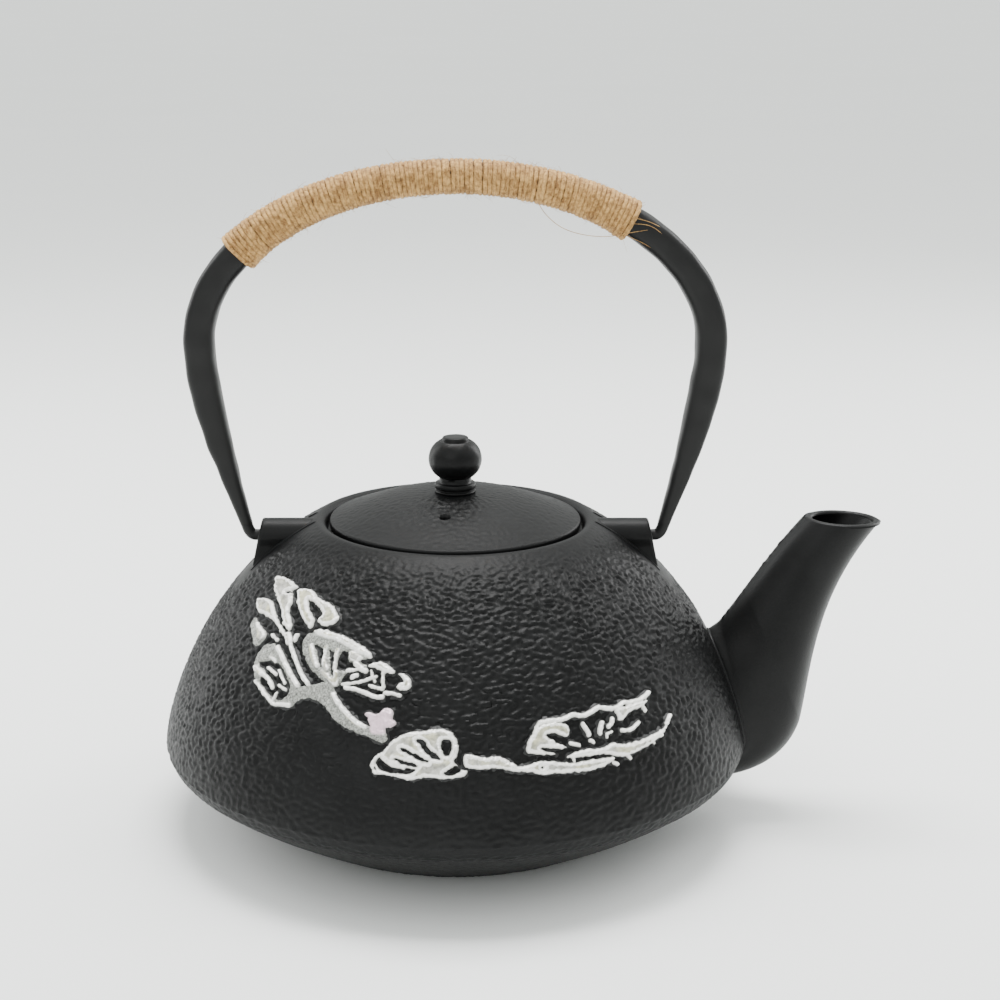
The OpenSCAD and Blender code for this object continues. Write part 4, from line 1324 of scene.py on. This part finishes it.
class Skin:
    """A flat chart of the pot's front, in degrees round and millimetres up."""

    def __init__(self, turn, z):
        slope = outer_r(z + 0.5) - outer_r(z - 0.5)
        self.turn, self.z = turn, z
        self.per_deg = math.radians(1) * outer_r(z)
        self.per_mm = np.sqrt(1 + slope ** 2)

    def window(self, points, reach=4.0):
        """Rows and columns of the chart that lie round some points."""
        points = np.asarray(points, float)
        low, high = points.min(0) - reach, points.max(0) + reach
        columns = np.flatnonzero((self.turn[0] > low[0]) & (self.turn[0] < high[0]))
        rows = np.flatnonzero((self.z[:, 0] > low[1]) & (self.z[:, 0] < high[1]))
        return slice(rows[0], rows[-1] + 1), slice(columns[0], columns[-1] + 1)

    def part(self, window):
        """A smaller chart of the same skin."""
        return Skin(self.turn[window], self.z[window])

    def distance(self, points):
        """Distance of each chart point from a run of straight lines."""
        best = np.full(self.turn.shape, 99.0)
        for (t0, z0), (t1, z1) in zip(points[:-1], points[1:]):
            away_x, away_z = (self.turn - t0) * self.per_deg, (self.z - z0) * self.per_mm
            run_x, run_z = (t1 - t0) * self.per_deg, (z1 - z0) * self.per_mm
            run = np.maximum(run_x ** 2 + run_z ** 2, 1e-6)
            share = np.clip((away_x * run_x + away_z * run_z) / run, 0, 1)
            best = np.minimum(best, np.hypot(away_x - share * run_x, away_z - share * run_z))
        return best

    def depth(self, points):
        """How far inside a closed outline each chart point lies, below zero outside."""
        loop = np.concatenate([points, points[:1]])
        held = np.zeros(self.turn.shape, bool)
        for (t0, z0), (t1, z1) in zip(loop[:-1], loop[1:]):
            if z0 != z1:
                crosses = (self.z < max(z0, z1)) & (self.z >= min(z0, z1))
                held ^= crosses & (self.turn < t0 + (self.z - z0) * (t1 - t0) / (z1 - z0))
        return np.where(held, 1, -1) * self.distance(loop)

    def widest(self, shapes, lines=False):
        """The depth inside the nearest of several outlines or (width, points) lines."""
        best = np.full(self.turn.shape, -9.0)
        for shape in shapes:
            width, points = shape if lines else (0, shape)
            window = self.window(points)
            part = self.part(window)
            if lines:
                line = curve_through(points)[::3] if len(points) > 2 else points
                reach = width / 2 - part.distance(line)
            else:
                reach = part.depth(rounded(points))
            best[window] = np.maximum(best[window], reach)
        return best


def front_chart(step, turns, heights):
    """A chart of the front, its points about a step apart in millimetres."""
    middle = np.mean(heights)
    slope = (outer_r(middle + 5) - outer_r(middle - 5)) / 10
    columns = int((turns[1] - turns[0]) * math.radians(1) * chart_r / step)
    rows = int((heights[1] - heights[0]) * math.sqrt(1 + slope ** 2) / step)
    return Skin(*np.meshgrid(np.linspace(*turns, columns), np.linspace(*heights, rows)))


def rounded(points):
    """A closed outline with its corners cut twice, so that it reads as a drawn curve."""
    loop = np.asarray(points, float)
    for _ in range(2):
        after = np.roll(loop, -1, axis=0)
        loop = np.stack([0.8 * loop + 0.2 * after, 0.2 * loop + 0.8 * after], 1).reshape(-1, 2)
    return loop


def build_relief(looks, iron):
    """The cast pine branch as a raised skin of its own, with paint marked on its high parts."""
    chart = front_chart(0.25, (-67, 50.5), (41, 87))
    flat = on_skin(chart.turn, chart.z, 0 * chart.z)
    wobble = Grain(17, 1.9).at(flat)
    crumbs = Grain(18, 0.9, cell=0.2).at(flat)
    bright = chart.widest(PINE_BRIGHT)
    washed = chart.widest(PINE_WASHED)
    leaf = chart.widest([PINE_LEAF])
    lines = chart.widest(PINE_LINES, lines=True)
    hollow = chart.widest(PINE_HOLLOWS)
    ragged = 0.10 * wobble + 0.05 * crumbs
    patches = np.minimum(np.maximum(np.maximum(bright, washed), leaf), -hollow) + ragged
    edge = np.maximum(patches, lines + 0.5 * ragged)
    bright_edge = np.maximum(np.minimum(np.maximum(bright, leaf), -hollow), lines) + ragged
    rise = fade(edge, -0.7, 0.45)
    level = 0.62 + 0.38 * fade(bright_edge, -0.5, 0.5)
    height = looks.height / MM * rise * level * (1 + 0.07 * wobble + 0.05 * crumbs)
    lift = height - 0.3 * (1 - fade(edge, -1.0, -0.6))
    points = on_skin(chart.turn, chart.z, lift)
    # red: painted, green: rosy, blue: a thin wash, alpha: painted highlight along the rims
    marks = np.stack([fade(edge, -0.30, 0.12), fade(leaf, -0.5, 0.3),
                      1 - fade(bright_edge, -0.25, 0.15), fade(edge, 1.2, 0.5)], -1)
    write_relief(chart, points, edge > -1.1, marks, looks, iron)


def write_relief(chart, points, keep, marks, looks, iron):
    """Makes the relief's closed mesh: its face, its edges and a back inside the pot's wall."""
    rows, columns = chart.turn.shape
    number = np.arange(rows * columns).reshape(rows, columns)
    cells = keep[:-1, :-1] | keep[1:, :-1] | keep[:-1, 1:] | keep[1:, 1:]
    corners = np.stack([number[:-1, :-1], number[:-1, 1:], number[1:, 1:], number[1:, :-1]], -1)
    front = corners[cells]
    back_points = on_skin(chart.turn, chart.z, -0.9 + 0 * chart.z)
    used = np.unique(front)
    renumber = np.full(rows * columns, -1)
    renumber[used] = np.arange(len(used))
    front = renumber[front]
    count = len(used)
    runs = np.concatenate([front[:, [k, (k + 1) % 4]] for k in range(4)])
    keys = runs[:, 0] * count + runs[:, 1]
    rims = runs[~np.isin(runs[:, 1] * count + runs[:, 0], keys)]
    sides = np.stack([rims[:, 1], rims[:, 0], rims[:, 0] + count, rims[:, 1] + count], -1)
    quads = np.concatenate([front, front[:, ::-1] + count, sides])
    both = np.concatenate([points.reshape(-1, 3)[used], back_points.reshape(-1, 3)[used]])
    material = pine_paint("pine paint", looks.paint, looks.blush, iron.light)
    relief = new_piece("pine_branch_relief", both, quads, material=material)
    shown = np.zeros((2 * count, 4), np.float32)
    shown[:count] = marks.reshape(-1, 4)[used]
    layer = relief.data.color_attributes.new("paint", "FLOAT_COLOR", "POINT")
    layer.data.foreach_set("color", shown.ravel())
    place_piece(relief, "pot", "silver_paint", "pine_relief")


# ---- stage -----------------------------------------------------------------------------------

camera_place = (0, -0.60267, 0.26161)
camera_down = 15.01
camera_lens = 73.73
camera_shift = 0.0448


def build_stage(looks):
    """Pale floor, soft lights, a sky brighter overhead, and the camera."""
    floor_material = Recipe("pale floor", Specular_IOR_Level=0.2)
    cloud = floor_material.noise(300, detail=1)
    pale = floor_material.blend(cloud, looks.floor, tuple(0.97 * c for c in looks.floor[:3]) + (1,))
    floor_material.finish(pale, 0.7)
    half = 30000.0
    corners = [(-half, -half, 0), (half, -half, 0), (half, half, 0), (-half, half, 0)]
    floor = new_piece("floor", corners, [(0, 1, 2, 3)], material=floor_material.material)

    def lamp(name, place, aim, size, power):
        data = bpy.data.lights.new(name, "AREA")
        data.shape = "RECTANGLE"
        data.size, data.size_y = size
        data.energy = power
        light = bpy.data.objects.new(name, data)
        bpy.context.scene.collection.objects.link(light)
        light.location = place
        way = np.array(aim) - np.array(place)
        yaw = math.atan2(way[1], way[0]) - math.pi / 2
        pitch = math.atan2(way[2], math.hypot(way[0], way[1])) + math.pi / 2
        light.rotation_euler = (pitch, 0, yaw)

    lamp("overhead", (0.0, 0.15, 0.95), (0, -0.02, 0.05), (0.6, 0.4), looks.key_power)
    lamp("front soft", (-0.5, -1.1, 0.7), (0, 0, 0.08), (0.9, 0.7), 0.2 * looks.key_power)
    lamp("right rim", (0.8, 0.55, 0.45), (0, 0, 0.1), (0.35, 0.7), looks.rim_power)
    lamp("left rim", (-0.8, 0.5, 0.4), (0, 0, 0.1), (0.3, 0.7), 0.6 * looks.rim_power)

    world = bpy.data.worlds.new("sky")
    world.use_nodes = True
    sky = world.node_tree.nodes["Background"]
    sky.inputs["Color"].default_value = (0.97, 1.0, 0.98, 1)
    links = world.node_tree.links
    way = world.node_tree.nodes.new("ShaderNodeTexCoord")
    height = world.node_tree.nodes.new("ShaderNodeSeparateXYZ")
    links.new(way.outputs["Generated"], height.inputs[0])
    rise = world.node_tree.nodes.new("ShaderNodeMapRange")
    rise.inputs["From Max"].default_value = 0.7
    rise.inputs["To Min"].default_value = 0.45 * looks.sky
    rise.inputs["To Max"].default_value = looks.sky
    links.new(height.outputs["Z"], rise.inputs["Value"])
    links.new(rise.outputs[0], sky.inputs["Strength"])
    bpy.context.scene.world = world

    eye = bpy.data.cameras.new("eye")
    eye.sensor_width = 36
    eye.lens = camera_lens
    eye.shift_x = camera_shift
    camera = bpy.data.objects.new("camera", eye)
    bpy.context.scene.collection.objects.link(camera)
    camera.location = camera_place
    camera.rotation_euler = (math.radians(90 - camera_down), 0, 0)
    bpy.context.scene.camera = camera


# ---- operators -------------------------------------------------------------------------------

class TEAPOT_OT_stage(bpy.types.Operator):
    """Make the floor, the lights and the camera"""

    bl_idname = "teapot.stage"
    bl_label = "Stage"

    def execute(self, context):
        build_stage(context.scene.teapot_stage)
        return {"FINISHED"}


class TEAPOT_OT_pot(bpy.types.Operator):
    """Cast the pot's body"""

    bl_idname = "teapot.pot"
    bl_label = "Pot"

    def execute(self, context):
        build_pot(context.scene.teapot_iron)
        return {"FINISHED"}


class TEAPOT_OT_spout(bpy.types.Operator):
    """Cast the spout and its bead"""

    bl_idname = "teapot.spout"
    bl_label = "Spout"

    def execute(self, context):
        build_spout(context.scene.teapot_iron)
        return {"FINISHED"}


class TEAPOT_OT_lugs(bpy.types.Operator):
    """Cast the two lugs"""

    bl_idname = "teapot.lugs"
    bl_label = "Lugs"

    def execute(self, context):
        build_lugs(context.scene.teapot_iron)
        return {"FINISHED"}


class TEAPOT_OT_relief(bpy.types.Operator):
    """Cast and paint the pine branch"""

    bl_idname = "teapot.relief"
    bl_label = "Pine relief"

    def execute(self, context):
        build_relief(context.scene.teapot_relief, context.scene.teapot_iron)
        return {"FINISHED"}


class TEAPOT_OT_lid(bpy.types.Operator):
    """Cast the lid, its collar and its knob"""

    bl_idname = "teapot.lid"
    bl_label = "Lid and knob"

    def execute(self, context):
        iron = context.scene.teapot_iron
        build_lid(iron)
        gloss = cast_iron("knob enamel", iron.dark, iron.light, iron.roughness - 0.08, 0.02)
        build_collar(gloss)
        build_knob(gloss)
        return {"FINISHED"}


class TEAPOT_OT_bail(bpy.types.Operator):
    """Forge the bail"""

    bl_idname = "teapot.bail"
    bl_label = "Bail"

    def execute(self, context):
        build_bail()
        return {"FINISHED"}


class TEAPOT_OT_twine(bpy.types.Operator):
    """Wind the twine round the bail"""

    bl_idname = "teapot.twine"
    bl_label = "Twine"

    def execute(self, context):
        build_twine(context.scene.teapot_twine)
        return {"FINISHED"}


class TEAPOT_OT_infuser(bpy.types.Operator):
    """Weave the infuser and finish the steel fittings"""

    bl_idname = "teapot.infuser"
    bl_label = "Infuser"

    def execute(self, context):
        build_infuser()
        return {"FINISHED"}


OPERATORS = (TEAPOT_OT_stage, TEAPOT_OT_pot, TEAPOT_OT_spout, TEAPOT_OT_lugs, TEAPOT_OT_relief,
             TEAPOT_OT_lid, TEAPOT_OT_bail, TEAPOT_OT_twine, TEAPOT_OT_infuser)
LOOKS = {"teapot_iron": IronLooks, "teapot_relief": ReliefLooks, "teapot_twine": TwineLooks,
         "teapot_stage": StageLooks}


class TEAPOT_PT_sidebar(bpy.types.Panel):
    """Sizes, colours and pieces of the teapot"""

    bl_label = "Teapot"
    bl_space_type = "VIEW_3D"
    bl_region_type = "UI"
    bl_category = "Teapot"

    def draw(self, context):
        for name, group in LOOKS.items():
            for key in group.__annotations__:
                self.layout.prop(getattr(context.scene, name), key)
        for operator in OPERATORS:
            self.layout.operator(operator.bl_idname)


def register():
    """Registers the settings, the operators and the panel."""
    for name, group in LOOKS.items():
        bpy.utils.register_class(group)
        setattr(bpy.types.Scene, name, bpy.props.PointerProperty(type=group))
    for operator in OPERATORS:
        bpy.utils.register_class(operator)
    bpy.utils.register_class(TEAPOT_PT_sidebar)


def unregister():
    """Takes them away again."""
    bpy.utils.unregister_class(TEAPOT_PT_sidebar)
    for operator in reversed(OPERATORS):
        bpy.utils.unregister_class(operator)
    for name, group in LOOKS.items():
        delattr(bpy.types.Scene, name)
        bpy.utils.unregister_class(group)


def main():
    """Builds every piece."""
    register()
    for operator in OPERATORS:
        group, name = operator.bl_idname.split(".")
        getattr(getattr(bpy.ops, group), name)()


if __name__ == "__main__":
    main()
